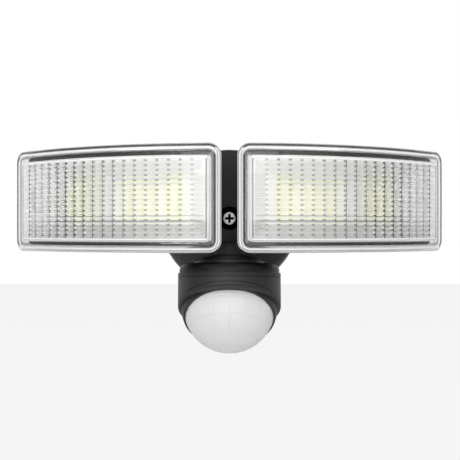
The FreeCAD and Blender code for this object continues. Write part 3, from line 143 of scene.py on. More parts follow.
class Signal:
    """A value in a material or world. Python's operators on it add Math nodes."""

    def __init__(self, finish, socket):
        self.finish = finish
        self.socket = socket

    def math(self, operation, *values):
        return self.finish.add("ShaderNodeMath", {"operation": operation}, dict(enumerate(values)))

    def __add__(self, other):
        return self.math("ADD", self, other)

    def __radd__(self, other):
        return self.math("ADD", other, self)

    def __sub__(self, other):
        return self.math("SUBTRACT", self, other)

    def __rsub__(self, other):
        return self.math("SUBTRACT", other, self)

    def __mul__(self, other):
        return self.math("MULTIPLY", self, other)

    def __rmul__(self, other):
        return self.math("MULTIPLY", other, self)

    def __truediv__(self, other):
        return self.math("DIVIDE", self, other)

    def __rtruediv__(self, other):
        return self.math("DIVIDE", other, self)

    def __pow__(self, other):
        return self.math("POWER", self, other)

    def __rpow__(self, other):
        return self.math("POWER", other, self)

    def fraction(self):
        return self.math("FRACT", self)

    def size(self):
        return self.math("ABSOLUTE", self)

    def larger(self, other):
        return self.math("MAXIMUM", self, other)

    def between(self, low, high):
        """0 below one level, 1 above the other, smooth between them. The levels may fall."""
        return self.finish.add("ShaderNodeMapRange", {"interpolation_type": "SMOOTHSTEP"},
                               {"Value": self, "From Min": low, "From Max": high})

    def within(self, rise, fall):
        """1 from where it has risen to where it begins to fall. Each edge is a pair of levels."""
        return self.between(*rise) * self.between(*fall)

    def stripe(self, middle, edge):
        """1 along the middle and 0 away from it. The edge is a pair of distances, the outer one first."""
        return (self - middle).size().between(*edge)

    def swing(self, amount):
        """Noise between 0 and 1, turned into a swing of an amount round 0."""
        return (self - 0.5) * amount


class Finish:
    """The nodes of a material or world under construction."""

    def __init__(self, owner, output_kind="ShaderNodeOutputMaterial"):
        owner.use_nodes = True
        self.owner = owner
        self.output_kind = output_kind
        self.tree = owner.node_tree
        self.tree.nodes.clear()

    def add(self, kind, settings, values, output=0):
        """A node of any kind: its settings first, then its sockets' values or links."""
        node = self.tree.nodes.new(kind)
        for name, setting in settings.items():
            setattr(node, name, setting)
        for name, given in values.items():
            if isinstance(given, Signal):
                self.tree.links.new(given.socket, node.inputs[name])
            elif isinstance(given, tuple) and node.inputs[name].type == "RGBA":
                node.inputs[name].default_value = (*given, 1)
            else:
                node.inputs[name].default_value = given
        return Signal(self, node.outputs[output])

    def coordinates(self, kind="Object"):
        return self.add("ShaderNodeTexCoord", {}, {}, kind)

    def coordinate(self, axis, kind="Object"):
        return self.add("ShaderNodeSeparateXYZ", {}, {"Vector": self.coordinates(kind)}, axis)

    def vector_math(self, operation, output, *vectors):
        return self.add("ShaderNodeVectorMath", {"operation": operation}, dict(enumerate(vectors)), output)

    def noise(self, size, detail=2.0):
        """Noise whose grain is about a size in metres."""
        return self.add("ShaderNodeTexNoise", {}, {
            "Vector": self.coordinates(), "Scale": 1 / size, "Detail": detail}, "Fac")

    def attribute(self, name):
        return self.add("ShaderNodeAttribute", {"attribute_name": name}, {}, "Fac")

    def rays(self, kind):
        """1 for one kind of ray, 0 for all others."""
        return self.add("ShaderNodeLightPath", {}, {}, kind)

    def blend(self, factor, first, second):
        """A colour between two. The node's colour sockets are numbered."""
        return self.add("ShaderNodeMix", {"data_type": "RGBA"}, {"Factor": factor, 6: first, 7: second}, 2)

    def bump(self, height, distance):
        return self.add("ShaderNodeBump", {}, {"Height": height, "Distance": distance}, "Normal")

    def surface(self, **values):
        """The Principled shader, with spaces for underscores in its sockets' names."""
        named = {name.replace("_", " "): given for name, given in values.items()}
        return self.add("ShaderNodeBsdfPrincipled", {}, named)

    def mixed(self, factor, first, second):
        """A shader between two."""
        return self.add("ShaderNodeMixShader", {}, {0: factor, 1: first, 2: second})

    def done(self, shader):
        """Join the shader to the output, and give back the material or world."""
        output = self.tree.nodes.new(self.output_kind)
        self.tree.links.new(shader.socket, output.inputs["Surface"])
        return self.owner


def new_finish(name):
    return Finish(bpy.data.materials.new(name))


def scaled(colour, amount):
    return tuple(part * amount for part in colour)


def grey(level):
    return (level, level, level)


# moulded finishes: colour, roughness, size of the grain, depth of its relief, and gloss
MOULDED = {
    "satin_black_plastic": ((0.018, 0.018, 0.019), 0.45, 0.5 * MM, 0.02 * MM, 0.38),
    "matt_black_paint": ((0.03, 0.03, 0.03), 0.6, 0.4 * MM, 0.03 * MM, 0.5),
    "black_rubber": ((0.012, 0.012, 0.012), 0.75, 0.8 * MM, 0.03 * MM, 0.5),
    "white_board": ((0.88, 0.88, 0.82), 0.4, 1.0 * MM, 0.005 * MM, 0.5),
    "yellow_phosphor": ((0.87, 0.85, 0.57), 0.5, 0.6 * MM, 0.005 * MM, 0.5),
    "green_board": ((0.02, 0.12, 0.05), 0.35, 1.2 * MM, 0.01 * MM, 0.5),
    "component_bodies": ((0.05, 0.05, 0.06), 0.45, 0.6 * MM, 0.01 * MM, 0.5),
    "grey_knob": ((0.2, 0.2, 0.2), 0.45, 0.5 * MM, 0.01 * MM, 0.5),
}
MOULDED_PATCH = 18.0 * MM
MOULDED_PATCH_DETAIL = 3.0
MOULDED_PATCH_PALER = 1.25
MOULDED_GRAIN_SWING = 0.12
MOULDED_PATCH_SWING = 0.1


def moulded_plastic(name, colour, roughness, grain, relief, gloss):
    """Moulded plastic with a fine grain and slightly uneven gloss."""
    finish = new_finish(name)
    fine = finish.noise(grain)
    broad = finish.noise(MOULDED_PATCH, MOULDED_PATCH_DETAIL)
    return finish.done(finish.surface(
        Base_Color=finish.blend(broad, colour, scaled(colour, MOULDED_PATCH_PALER)),
        Roughness=roughness + fine.swing(MOULDED_GRAIN_SWING) + broad.swing(MOULDED_PATCH_SWING),
        Specular_IOR_Level=gloss, Normal=finish.bump(fine, relief)))


# the canopy front's paint, with painted light and shade: darker at the top, paler towards the lower edge,
# nearly black in the screw recess
FRONT_COLOUR = grey(0.024)
FRONT_PAINTED_LIGHT = 2.0
FRONT_PAINTED_SHADE = 0.4
FRONT_LIGHT_FROM = 45.0 * MM
FRONT_LIGHT_FULL = -28.0 * MM
FRONT_ROUGHNESS = 0.6
FRONT_GRAIN = 0.4 * MM
FRONT_GRAIN_SWING = 0.1
FRONT_RELIEF = 0.03 * MM
RECESS_RADIUS = 9.0 * MM
RECESS_EDGE = 0.1 * MM
RECESS_SHADE_COLOUR = grey(0.001)
RECESS_ROUGHER = 0.3


def front_paint_with_painted_shade(name):
    """Matt paint with painted light and shade: nearly black inside the canopy's screw recess, darker at the
    top and paler towards its lower edge.
    """
    finish = new_finish(name)
    fine = finish.noise(FRONT_GRAIN)
    flat_place = finish.vector_math("MULTIPLY", 0, finish.coordinates(), (1.0, 0.0, 1.0))
    distance = finish.vector_math("LENGTH", "Value", flat_place)
    # painted shade inside the screw recess
    recess = distance.between(RECESS_RADIUS + RECESS_EDGE, RECESS_RADIUS - RECESS_EDGE)
    # painted shade at the top, painted light towards the lower edge
    low = finish.coordinate("Z").between(FRONT_LIGHT_FROM, FRONT_LIGHT_FULL)
    face = finish.blend(low, scaled(FRONT_COLOUR, FRONT_PAINTED_SHADE), scaled(FRONT_COLOUR, FRONT_PAINTED_LIGHT))
    return finish.done(finish.surface(
        Base_Color=finish.blend(recess, face, RECESS_SHADE_COLOUR),
        Roughness=FRONT_ROUGHNESS + fine.swing(FRONT_GRAIN_SWING) + recess * RECESS_ROUGHER,
        Normal=finish.bump(fine, FRONT_RELIEF)))


# upward along the sensor's leaning axis, and how high up it the painted shade on the shoulder of the
# sensor's cover begins
SENSOR_LEAN = math.radians(5)
SENSOR_UP = (0.0, math.sin(SENSOR_LEAN), math.cos(SENSOR_LEAN))
SHOULDER_FROM = -46.4 * MM
SHOULDER_FULL = -45.6 * MM
SHOULDER_SHADE_DARKER = 0.1
COVER_COLOUR = (0.018, 0.018, 0.019)
COVER_ROUGHNESS = 0.45
COVER_GRAIN = 0.5 * MM
COVER_GRAIN_SWING = 0.12
COVER_RELIEF = 0.02 * MM
COVER_GLOSS = 0.3


def cover_plastic_with_painted_shade(name):
    """Moulded plastic, darker on the shoulder round the sensor's bell joint: painted shade where the bell
    and heads overhang it.
    """
    finish = new_finish(name)
    fine = finish.noise(COVER_GRAIN)
    height = finish.vector_math("DOT_PRODUCT", "Value", finish.coordinates(), SENSOR_UP)
    # painted shade on the shoulder
    shoulder = height.between(SHOULDER_FROM, SHOULDER_FULL)
    return finish.done(finish.surface(
        Base_Color=finish.blend(shoulder, COVER_COLOUR, scaled(COVER_COLOUR, SHOULDER_SHADE_DARKER)),
        Roughness=COVER_ROUGHNESS + fine.swing(COVER_GRAIN_SWING),
        Specular_IOR_Level=COVER_GLOSS, Normal=finish.bump(fine, COVER_RELIEF)))


# plated finishes: colour and roughness
PLATED = {
    "zinc_plate": ((0.62, 0.62, 0.6), 0.35),
    "green_passivated_steel": ((0.06, 0.28, 0.12), 0.35),
    "blackened_steel": ((0.3, 0.3, 0.3), 0.4),
    "nickel_plate": ((0.48, 0.48, 0.47), 0.25),
}
PLATED_GRAIN = 0.5 * MM
PLATED_GRAIN_DETAIL = 3.0
PLATED_GRAIN_SWING = 0.2
PLATED_RELIEF = 0.01 * MM
PLATED_PATCH = 4.0 * MM
PLATED_PATCH_DARKER = 0.82
# painted shade in a hollow, such as the screw's cross recess, and how much rougher the plating is there
HOLLOW_SHADE_COLOUR = grey(0.01)
HOLLOW_ROUGHER = 0.4


def plated_steel(name, colour, roughness):
    """Plated steel, with painted shade where its mesh is marked as hollow."""
    finish = new_finish(name)
    fine = finish.noise(PLATED_GRAIN, PLATED_GRAIN_DETAIL)
    broad = finish.noise(PLATED_PATCH)
    hollow = finish.attribute("hollow")
    plating = finish.blend(broad, scaled(colour, PLATED_PATCH_DARKER), colour)
    return finish.done(finish.surface(
        Base_Color=finish.blend(hollow, plating, HOLLOW_SHADE_COLOUR), Metallic=1.0,
        Roughness=roughness + fine.swing(PLATED_GRAIN_SWING) + hollow * HOLLOW_ROUGHER,
        Normal=finish.bump(fine, PLATED_RELIEF)))


# Painted shade and painted highlights where the prisms meet, for what their refraction shows. Columns and
# rows are counted in prisms from the lamp's middle and foot, and a pair of them is where something begins
# and where it is full. Distances from a meeting place are in mm.
FIRST_COLUMN = (0.6, 0.2)
FIRST_COLUMN_SHIFT = 0.22
OUTER_COLUMNS = (4.0, 8.5)
FIELD_END = (18.6, 18.4)
MARKS_LEAST = 0.25
MARKS_STRONGER = (((0.3, 1.8), 0.35), ((4.5, 7.0), 0.12), ((9.5, 11.5), 0.28))
MARKS_FADE = (13.2, 16.5)
MARKS_FADED = 0.7
DASH_HALF = (1.45, 0.7)
DASH_EDGE = (1.4, 0.1)
DASH_OUTER_SHIFT = 0.6
DASH_STRENGTH = 0.95
LINE_ASIDE = 0.35
LINE_EDGE = (0.6, 0.2)
LINE_STRENGTH = 0.85
SPOT_ASIDE = -1.5
SPOT_HALF = (1.1, 0.9)
SPOT_EDGE = (1.3, 0.4)
SPOT_COLUMNS = (9.0, 11.0)
SPOT_STRENGTH = 0.6

# the two thin lines of painted shade along the lamp's lower part: row, edge and strength
SHELF_SHADE_LINES = ((3.8, (0.17, 0.05), 0.4), (4.82, (0.15, 0.05), 0.28))
SHELF_START = (-0.1, 0.5)
SHELF_END = (16.5, 13.0)
# a thin line of painted shade along the field's inner rim: column, edge and strength
RIM_COLUMN = -0.17
RIM_EDGE = (0.12, 0.03)
RIM_STRENGTH = 0.5

# the pale veil of painted light over the outer columns: where it begins and is full, and its strength
LIGHT_VEILS = (((14.0, 16.5), 0.35), ((17.6, 17.9), 0.8))

# columns and rows over which the LEDs' yellow, as the prisms spread it, is painted on the lens: where it
# rises and where it falls
LED_YELLOW_COLUMNS = (((1.4, 1.7), (3.6, 3.3)), ((9.0, 9.4), (12.5, 12.1)))
LED_YELLOW_ROWS = ((3.5, 3.9), (13.4, 13.0))


def from_meeting(count, pitch):
    """Distance in mm from the nearest place where prisms meet, with its sign."""
    return (count + 0.5).fraction().swing(pitch / MM)


def oval(aside, above, half, edge):
    """1 inside an oval of two half sizes and 0 outside. The edge is a pair of squared reaches."""
    wide, tall = half
    return ((aside / wide) ** 2.0 + (above / tall) ** 2.0).between(*edge)


def largest(values):
    """The largest of several values, and of 0."""
    found, *others = values
    for other in others:
        found = found.larger(other)
    return found


def painted_prism_light_and_shade(finish):
    """Painted shade and painted light where the prisms meet, for what their refraction shows, as a dark and
    a
    pale share: dark dashes near the middle of the lamp, toothed lines further out, two thin lines along the
    lamp's lower part and one at the field's inner rim, and painted highlights as light spots between the
    teeth and a pale veil of painted light at the outer end."""
    across = finish.attribute("across")
    up = finish.attribute("up")
    aside = from_meeting(across + across.between(*FIRST_COLUMN) * FIRST_COLUMN_SHIFT, PRISM_PITCH)
    above = from_meeting(up, PRISM_RISE)
    outward = across.between(*OUTER_COLUMNS)
    strength = MARKS_LEAST
    for columns, amount in MARKS_STRONGER:
        strength = strength + across.between(*columns) * amount
    strength = strength * (1.0 - across.between(*MARKS_FADE) * MARKS_FADED) * across.between(*FIELD_END)
    dash = oval(aside + outward * DASH_OUTER_SHIFT, above, DASH_HALF, DASH_EDGE) * DASH_STRENGTH
    line = aside.stripe(LINE_ASIDE, LINE_EDGE) * outward * LINE_STRENGTH
    shelf_shade = largest([up.stripe(row, edge) * amount for row, edge, amount in SHELF_SHADE_LINES])
    # painted shade: dashes, toothed lines and thin lines
    dark = largest([dash.larger(line) * strength, shelf_shade * across.within(SHELF_START, SHELF_END),
                    across.stripe(RIM_COLUMN, RIM_EDGE) * RIM_STRENGTH])
    # painted highlights between the teeth, and painted light over the outer columns
    spot = oval(aside - SPOT_ASIDE, above.size() - PRISM_RISE / MM / 2, SPOT_HALF, SPOT_EDGE)
    light_veils = [across.between(*columns) * amount for columns, amount in LIGHT_VEILS]
    pale = largest([spot * outward * across.between(*SPOT_COLUMNS) * SPOT_STRENGTH] + light_veils)
    return dark, pale


def painted_led_yellow(finish):
    """Where the yellow of the LEDs, as the prisms spread it, is painted on the lens."""
    across = finish.attribute("across")
    strips = largest([across.within(*edges) for edges in LED_YELLOW_COLUMNS])
    return strips * finish.attribute("up").within(*LED_YELLOW_ROWS)


LENS_CLEAR = (0.97, 0.98, 0.98)
LENS_HAZY = (0.98, 0.98, 0.98)
# the LEDs' yellow, painted on the lens where the prisms spread it
LENS_PAINTED_LED_YELLOW = (0.97, 0.97, 0.80)
LENS_ROUGHNESS = 0.02
LENS_HAZE = 9.0 * MM
LENS_HAZE_ROUGHER = 0.03
LENS_IOR = 1.55
LENS_SHADOW = (0.98, 0.985, 0.985)
# the lens's painted light and painted shade: their colours and roughness, and the levels at which the
# prisms' shade or a negative tone makes the paint dark
PAINT_LIGHT = grey(0.95)
PAINT_SHADE = (0.05, 0.05, 0.055)
PAINT_ROUGHNESS = 0.1
PAINT_HAZE_ROUGHER = 0.05
PRISM_SHADE_IS_DARK = (0.02, 0.25)
TONE_IS_DARK = (0.0, 0.05)


def clear_lens(name):
    """Clear polycarbonate that lets the lamps' light through to what is behind it. Its bead, and the places
    where the prisms meet, partly carry painted light and shade for what reflection and refraction show
    there:
    a white painted highlight or dark painted shade."""
    finish = new_finish(name)
    haze = finish.noise(LENS_HAZE)
    tone = finish.attribute("tone")
    prism_shade, prism_light = painted_prism_light_and_shade(finish)
    glass = finish.surface(
        Base_Color=finish.blend(painted_led_yellow(finish), finish.blend(haze, LENS_CLEAR, LENS_HAZY), LENS_PAINTED_LED_YELLOW),
        Roughness=LENS_ROUGHNESS + haze * LENS_HAZE_ROUGHER, IOR=LENS_IOR, Transmission_Weight=1.0)
    # painted shade where the prisms' shade or a negative tone falls, painted light elsewhere
    dark = prism_shade.between(*PRISM_SHADE_IS_DARK).larger((tone * -1.0).between(*TONE_IS_DARK))
    painted = finish.surface(Base_Color=finish.blend(dark, PAINT_LIGHT, PAINT_SHADE),
                             Roughness=PAINT_ROUGHNESS + haze * PAINT_HAZE_ROUGHER)
    # the painted light and shade cover the clear glass by their share
    seen = finish.mixed(largest([tone.size(), prism_shade, prism_light]), glass, painted)
    open_air = finish.add("ShaderNodeBsdfTransparent", {}, {"Color": LENS_SHADOW})
    return finish.done(finish.mixed(finish.rays("Is Shadow Ray"), seen, open_air))


# the lamp's white tray: its painted light, its white and its painted shade, and the heights between which
# the painted shade turns it grey or the painted light makes it palest
TRAY_PAINTED_LIGHT = (0.98, 0.98, 0.97)
TRAY_WHITE = (0.88, 0.88, 0.87)
TRAY_PAINTED_SHADE = (0.47, 0.47, 0.46)
TRAY_SHADE_FROM = -2.0 * MM
TRAY_SHADE_FULL = -5.0 * MM
TRAY_LIGHT_FROM = 27.0 * MM
TRAY_LIGHT_FULL = 30.0 * MM
TRAY_ROUGHNESS = 0.35
TRAY_GRAIN = 1.5 * MM
TRAY_GRAIN_SWING = 0.1
TRAY_RELIEF = 0.005 * MM
# streaks in the painted shade on the lower wall, and their share of it
SHADE_STREAKS = {"Scale": 120.0, "Distortion": 1.5, "Detail": 1.0}
SHADE_STREAK_SHARE = 0.3


def white_tray(name):
    """White plastic with painted light on the upper wall, and painted shade, grey and streaked, on the lower
    one.
    """
    finish = new_finish(name)
    fine = finish.noise(TRAY_GRAIN)
    height = finish.coordinate("Z")
    shade_streaks = finish.add("ShaderNodeTexWave", {"bands_direction": "Z", "wave_type": "BANDS"},
                         {"Vector": finish.coordinates(), **SHADE_STREAKS}, "Fac")
    # painted shade, streaked, on the lower wall
    low = height.between(TRAY_SHADE_FROM, TRAY_SHADE_FULL) * (1.0 - SHADE_STREAK_SHARE + shade_streaks * SHADE_STREAK_SHARE)
    # painted light on the upper wall
    upper = finish.blend(height.between(TRAY_LIGHT_FROM, TRAY_LIGHT_FULL), TRAY_WHITE, TRAY_PAINTED_LIGHT)
    return finish.done(finish.surface(
        Base_Color=finish.blend(low, upper, TRAY_PAINTED_SHADE),
        Roughness=TRAY_ROUGHNESS + fine.swing(TRAY_GRAIN_SWING), Normal=finish.bump(fine, TRAY_RELIEF)))


MILKY_DEEP = (0.80, 0.81, 0.80)
MILKY_PALE = (0.86, 0.86, 0.85)
MILKY_PATCH = 12.0 * MM
MILKY_ROUGHNESS = 0.3
MILKY_PATCH_SWING = 0.08
MILKY_SHARE = 0.6
MILKY_REACH = 4.0 * MM
MILKY_REACH_BY_COLOUR = (1.0, 0.95, 0.9)
MILKY_RELIEF = 0.03 * MM


def milky_plastic(name):
    """Milky plastic with the fine rings of the small lenses in it."""
    finish = new_finish(name)
    broad = finish.noise(MILKY_PATCH)
    ring = finish.attribute("ring").fraction()
    return finish.done(finish.surface(
        Base_Color=finish.blend(broad, MILKY_DEEP, MILKY_PALE),
        Roughness=MILKY_ROUGHNESS + broad.swing(MILKY_PATCH_SWING),
        Subsurface_Weight=MILKY_SHARE, Subsurface_Scale=MILKY_REACH,
        Subsurface_Radius=MILKY_REACH_BY_COLOUR, Normal=finish.bump(ring, MILKY_RELIEF)))


SPECIAL = {
    "matt_black_front": front_paint_with_painted_shade,
    "satin_black_cover": cover_plastic_with_painted_shade,
    "white_reflector": white_tray,
    "clear_polycarbonate": clear_lens,
    "milky_dome": milky_plastic,
}


def make_materials():
    materials = {name: moulded_plastic(name, *values) for name, values in MOULDED.items()}
    materials.update({name: plated_steel(name, *values) for name, values in PLATED.items()})
    materials.update({name: make(name) for name, make in SPECIAL.items()})
    return materials


NODE_FINISHES = {
    "matt_black_front": ["canopy_housing"],
    "matt_black_paint": ["back_plate", "sensor_neck", "neck_cap", "left_arm", "right_arm"],
    "satin_black_plastic": ["left_head_shell", "right_head_shell", "swivel_cap", "sensor_housing",
                            "dome_bezel", "left_lens_clips", "right_lens_clips"],
    "satin_black_cover": ["sensor_cover"],
    "black_rubber": ["canopy_gasket", "supply_grommet", "left_lens_gasket", "right_lens_gasket"],
    "white_reflector": ["left_reflector", "right_reflector"],
    "white_board": ["left_front_board", "right_front_board", "left_side_board", "right_side_board"],
    "yellow_phosphor": ["left_front_leds", "right_front_leds", "left_side_leds", "right_side_leds"],
    "green_board": ["driver_board", "sensor_board", "control_board"],
    "component_bodies": ["driver_parts", "potentiometers"],
    "grey_knob": ["time_knob", "lux_knob", "range_knob"],
    "zinc_plate": ["crossbar", "back_plate_screws", "driver_screws", "arm_screws", "neck_screws",
                   "swivel_clip", "left_hinge_washers", "right_hinge_washers", "left_hinge_nut",
                   "right_hinge_nut"],
    "blackened_steel": ["tilt_pins"],
    "green_passivated_steel": ["ground_screw"],
    "nickel_plate": ["mounting_screw", "left_hinge_bolt", "right_hinge_bolt", "pir_detector",
                     "light_sensor"],
    "clear_polycarbonate": ["left_lens", "right_lens"],
    "milky_dome": ["sensor_dome"],
}


def dress_nodes(materials):
    """Give every CAD node its finish."""
    for finish, names in NODE_FINISHES.items():
        for name in names:
            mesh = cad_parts[name].data
            mesh.materials.clear()
            mesh.materials.append(materials[finish])


def add_piece(name, shape, material, body, node):
    """Turn a bmesh into a piece that rides on a body and stands for a CAD node."""
    mesh = bpy.data.meshes.new(name)
    shape.to_mesh(mesh)
    shape.free()
    mesh.materials.append(material)
    piece = bpy.data.objects.new(name, mesh)
    bpy.context.scene.collection.objects.link(piece)
    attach(piece, body)
    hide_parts(node)


# The lenses: drawn flat, with x along the arc, y the depth behind the front and z up, then bent

def outline_point(way, edges, corner):
    """Point at a way (0 to 4, one for each side from the lower left corner) round a rounded oblong."""
    left, right, low, high = edges
    side = int(way) % SIDE_COUNT
    share = way - int(way)
    middle = Vector(((left + right) / 2, (low + high) / 2))
    half = Vector(((right - left) / 2, (high - low) / 2))
    reach = half.x if side % 2 == 0 else half.y
    depth = half.y if side % 2 == 0 else half.x
    eighth = corner * QUARTER_TURN / 2
    straight = 2 * (reach - corner)
    travelled = share * (2 * eighth + straight)
    if travelled < eighth:
        turn = (travelled - eighth) / corner
        across, down = corner - reach + corner * math.sin(turn), corner * math.cos(turn) - corner + depth
    elif travelled > eighth + straight:
        turn = (travelled - eighth - straight) / corner
        across, down = reach - corner + corner * math.sin(turn), corner * math.cos(turn) - corner + depth
    else:
        across, down = travelled - eighth + corner - reach, depth
    turned = Matrix.Rotation(side * QUARTER_TURN, 2) @ Vector((across, -down))
    return middle + turned


def way_round(along, height):
    """Where a point on the prism field's edge lies round it, as outline_point counts."""
    left, right, low, high = FIELD
    across = (along - left) / (right - left)
    up = (height - low) / (high - low)
    distances = {LOWER: up, OUTER: 1 - across, UPPER: 1 - up, INNER: across}
    shares = {LOWER: across, OUTER: up, UPPER: 1 - across, INNER: 1 - up}
    side = min(distances, key=distances.get)
    return (side + min(max(shares[side], 0.0), 1.0)) % SIDE_COUNT


def prism_depth(across, up):
    """Depth of the pillow-shaped prisms behind the lens's front, at a place counted in prisms."""
    aside = across % 1 * 2 - 1
    above = up % 1 * 2 - 1
    return PRISM_PEAK - PRISM_DEPTH_ACROSS * aside ** 2 - PRISM_DEPTH_UP * above ** 2


def note_place(vertex, layers, across, up):
    """Note where a vertex lies, counted in prisms."""
    vertex[layers["across"]] = across
    vertex[layers["up"]] = up


def add_field(shape, layers, prisms):
    """A grid over the prism field, with prisms or smooth, whose rim notes the way round. Returns the rim."""
    before = set(shape.verts)
    left, right, low, high = FIELD
    wide = right - left
    tall = high - low
    centre = Vector(((left + right) / 2, 0, (low + high) / 2))
    size = Matrix.Diagonal((wide / 2, tall / 2, 1, 1))
    place = Matrix.Translation(centre) @ Matrix.Rotation(QUARTER_TURN, 4, "X") @ size
    bmesh.ops.create_grid(shape, x_segments=round(wide / FIELD_STEP_ACROSS),
                          y_segments=round(tall / FIELD_STEP_UP), size=1, matrix=place)
    made = [vertex for vertex in shape.verts if vertex not in before]
    for vertex in made:
        across = (vertex.co.x - PRISM_START) / PRISM_PITCH
        up = (vertex.co.z - PRISM_LOW) / PRISM_RISE
        if prisms:
            note_place(vertex, layers, across, up)
            vertex.co.y = prism_depth(across, up)
        else:
            note_place(vertex, layers, UNMARKED, UNMARKED)
            vertex.co.y = FIELD_FRONT
        if vertex.is_boundary:
            vertex[layers["way"]] = way_round(vertex.co.x, vertex.co.z)
    return [edge for edge in shape.edges if edge.is_boundary and edge.verts[0] not in before]


def add_ring(shape, layers, rim, edges, corner, depth, tones):
    """Extrude a rim to a rounded oblong at a depth, with a tone for each side. Returns the new rim."""
    grown = bmesh.ops.extrude_edge_only(shape, edges=rim)["geom"]
    for vertex in grown:
        if isinstance(vertex, bmesh.types.BMVert):
            point = outline_point(vertex[layers["way"]], edges, corner)
            vertex.co = (point.x, depth, point.y)
            vertex[layers["tone"]] = tones[int(vertex[layers["way"]]) % SIDE_COUNT]
            note_place(vertex, layers, UNMARKED, UNMARKED)
    return [edge for edge in grown if isinstance(edge, bmesh.types.BMEdge) and edge.is_boundary]


def moved_in(edges, amount):
    left, right, low, high = edges
    return (left + amount, right - amount, low + amount, high - amount)


def add_rings(shape, layers, rim, rings, outline, corner, way):
    """Rings that lie in from an outline (way 1) or out from it (way -1). Returns the last rim."""
    for distance, depth, tones in rings:
        shift = way * distance * MM
        rounding = max(corner - shift, LEAST_CORNER)
        rim = add_ring(shape, layers, rim, moved_in(outline, shift), rounding, depth * MM, tones)
    return rim


def turn_outward(shape):
    """Make the faces of a closed shape look outward."""
    bmesh.ops.recalc_face_normals(shape, faces=shape.faces)
    if shape.calc_volume(signed=True) < 0:
        bmesh.ops.reverse_faces(shape, faces=shape.faces)


def smooth(shape):
    for face in shape.faces:
        face.smooth = True


def bend(shape, side):
    """Bend what was drawn flat round the head's upright axis, on one side."""
    for vertex in shape.verts:
        angle = vertex.co.x / HEAD_RADIUS
        reach = HEAD_RADIUS - vertex.co.y
        vertex.co.x = side * (HEAD_AXIS_X + reach * math.sin(angle))
        vertex.co.y = HEAD_AXIS_Y - reach * math.cos(angle)


def make_lens(name, side, material):
    """Clear tray: a raised bead round its edge, a recessed band, and pillow prisms inside."""
    shape = bmesh.new()
    layers = {mark: shape.verts.layers.float.new(mark) for mark in ("way", "across", "up", "tone")}
    rim = add_field(shape, layers, True)
    add_rings(shape, layers, rim, BACK_RINGS, HEAD_OUTLINE, HEAD_CORNER, 1)
    rim = add_field(shape, layers, False)
    rim = add_rings(shape, layers, rim, STEP_RINGS, FIELD, STEP_CORNER, -1)
    add_rings(shape, layers, rim, BEAD_RINGS, HEAD_OUTLINE, HEAD_CORNER, 1)
    bmesh.ops.remove_doubles(shape, verts=shape.verts, dist=LENS_MERGE_DISTANCE)
    bend(shape, side)
    turn_outward(shape)
    smooth(shape)
    add_piece(name + "_prism_lens", shape, material, name + "_head", name + "_lens")


# Turned pieces

def turned_shape(profile, segments):
    """A closed shape turned about the Z axis from pairs of radius and height that begin and end on it."""
    shape = bmesh.new()
    points = [shape.verts.new((radius, 0, height)) for radius, height in profile]
    edges = [shape.edges.new(pair) for pair in zip(points, points[1:])]
    bmesh.ops.spin(shape, geom=points + edges, cent=(0, 0, 0), axis=(0, 0, 1), angle=math.tau,
                   steps=segments, use_merge=True)
    bmesh.ops.remove_doubles(shape, verts=shape.verts, dist=MERGE_DISTANCE)
    return shape


def cross_depth(x, y):
    """Share of the cross recess's depth at a place on the screw's head."""
    shares = []
    for along, aside in ((x, y), (y, x)):
        wall = min(max((CROSS_HALF_WIDTH - abs(aside)) / CROSS_SLOPE, 0.0), 1.0)
        end = min(max((CROSS_REACH - abs(along)) / CROSS_SLOPE, 0.0), 1.0)
        shares.append(wall * end)
    return max(shares)


def make_screw(material):
    """The canopy's pan-head screw with its cross recess."""
    profile = []
    for ring in range(SCREW_RINGS + 1):
        share = ring / SCREW_RINGS
        height = SCREW_HEAD_HEIGHT - SCREW_HEAD_EDGE * share ** SCREW_HEAD_CURVE
        profile.append((SCREW_HEAD_RADIUS * share, height))
    profile += [(SCREW_HEAD_RADIUS, 0.0), (SCREW_SHANK_RADIUS, 0.0),
                (SCREW_SHANK_RADIUS, -SCREW_SHANK_LENGTH), (0.0, -SCREW_SHANK_LENGTH)]
    shape = turned_shape(profile, SCREW_SEGMENTS)
    # this share sinks the cross recess and also sets its painted shade in the plated finish
    hollow = shape.verts.layers.float.new("hollow")
    for vertex in shape.verts:
        if vertex.co.z > 0:
            vertex[hollow] = cross_depth(vertex.co.x, vertex.co.y)
            vertex.co.z -= CROSS_DEPTH * vertex[hollow]
    shape.transform(Matrix.Translation((0, SCREW_SEAT, 0)) @ Matrix.Rotation(QUARTER_TURN, 4, "X"))
    turn_outward(shape)
    add_piece("cross_head_screw", shape, material, "canopy", "mounting_screw")


def on_dome(tip_angle, round_angle):
    """Direction in the dome's frame, from its angle from the tip and the angle round it, in degrees."""
    tip, turn = math.radians(tip_angle), math.radians(round_angle)
    return Vector((math.sin(tip) * math.cos(turn), math.sin(tip) * math.sin(turn), -math.cos(tip)))


def lenslet_at(tip_angle, round_angle):
    """Whether a place on the dome lies on a seam, and its angle in radians from its small lens's middle."""
    half_step = FULL_CIRCLE / DOME_SEGMENTS / 2
    for start, end, count in LENSLET_ROWS:
        if start <= tip_angle < end:
            width = FULL_CIRCLE / count
            middle = on_dome((start + end) / 2, (math.floor(round_angle / width) + 0.5) * width)
            past_seam = round_angle % width
            seam = tip_angle == start or min(past_seam, width - past_seam) < half_step
            return seam, on_dome(tip_angle, round_angle).angle(middle)
    first_row_start = LENSLET_ROWS[0][0]
    last_row_end = LENSLET_ROWS[-1][1]
    return tip_angle == last_row_end, math.radians(min(tip_angle, first_row_start))


def dome_arc(radius, tip_angles):
    """Pairs of radius and height on a ball round the dome's middle, at angles from its tip in degrees."""
    return [(radius * math.sin(math.radians(tip)), DOME_RISE - radius * math.cos(math.radians(tip)))
            for tip in tip_angles]


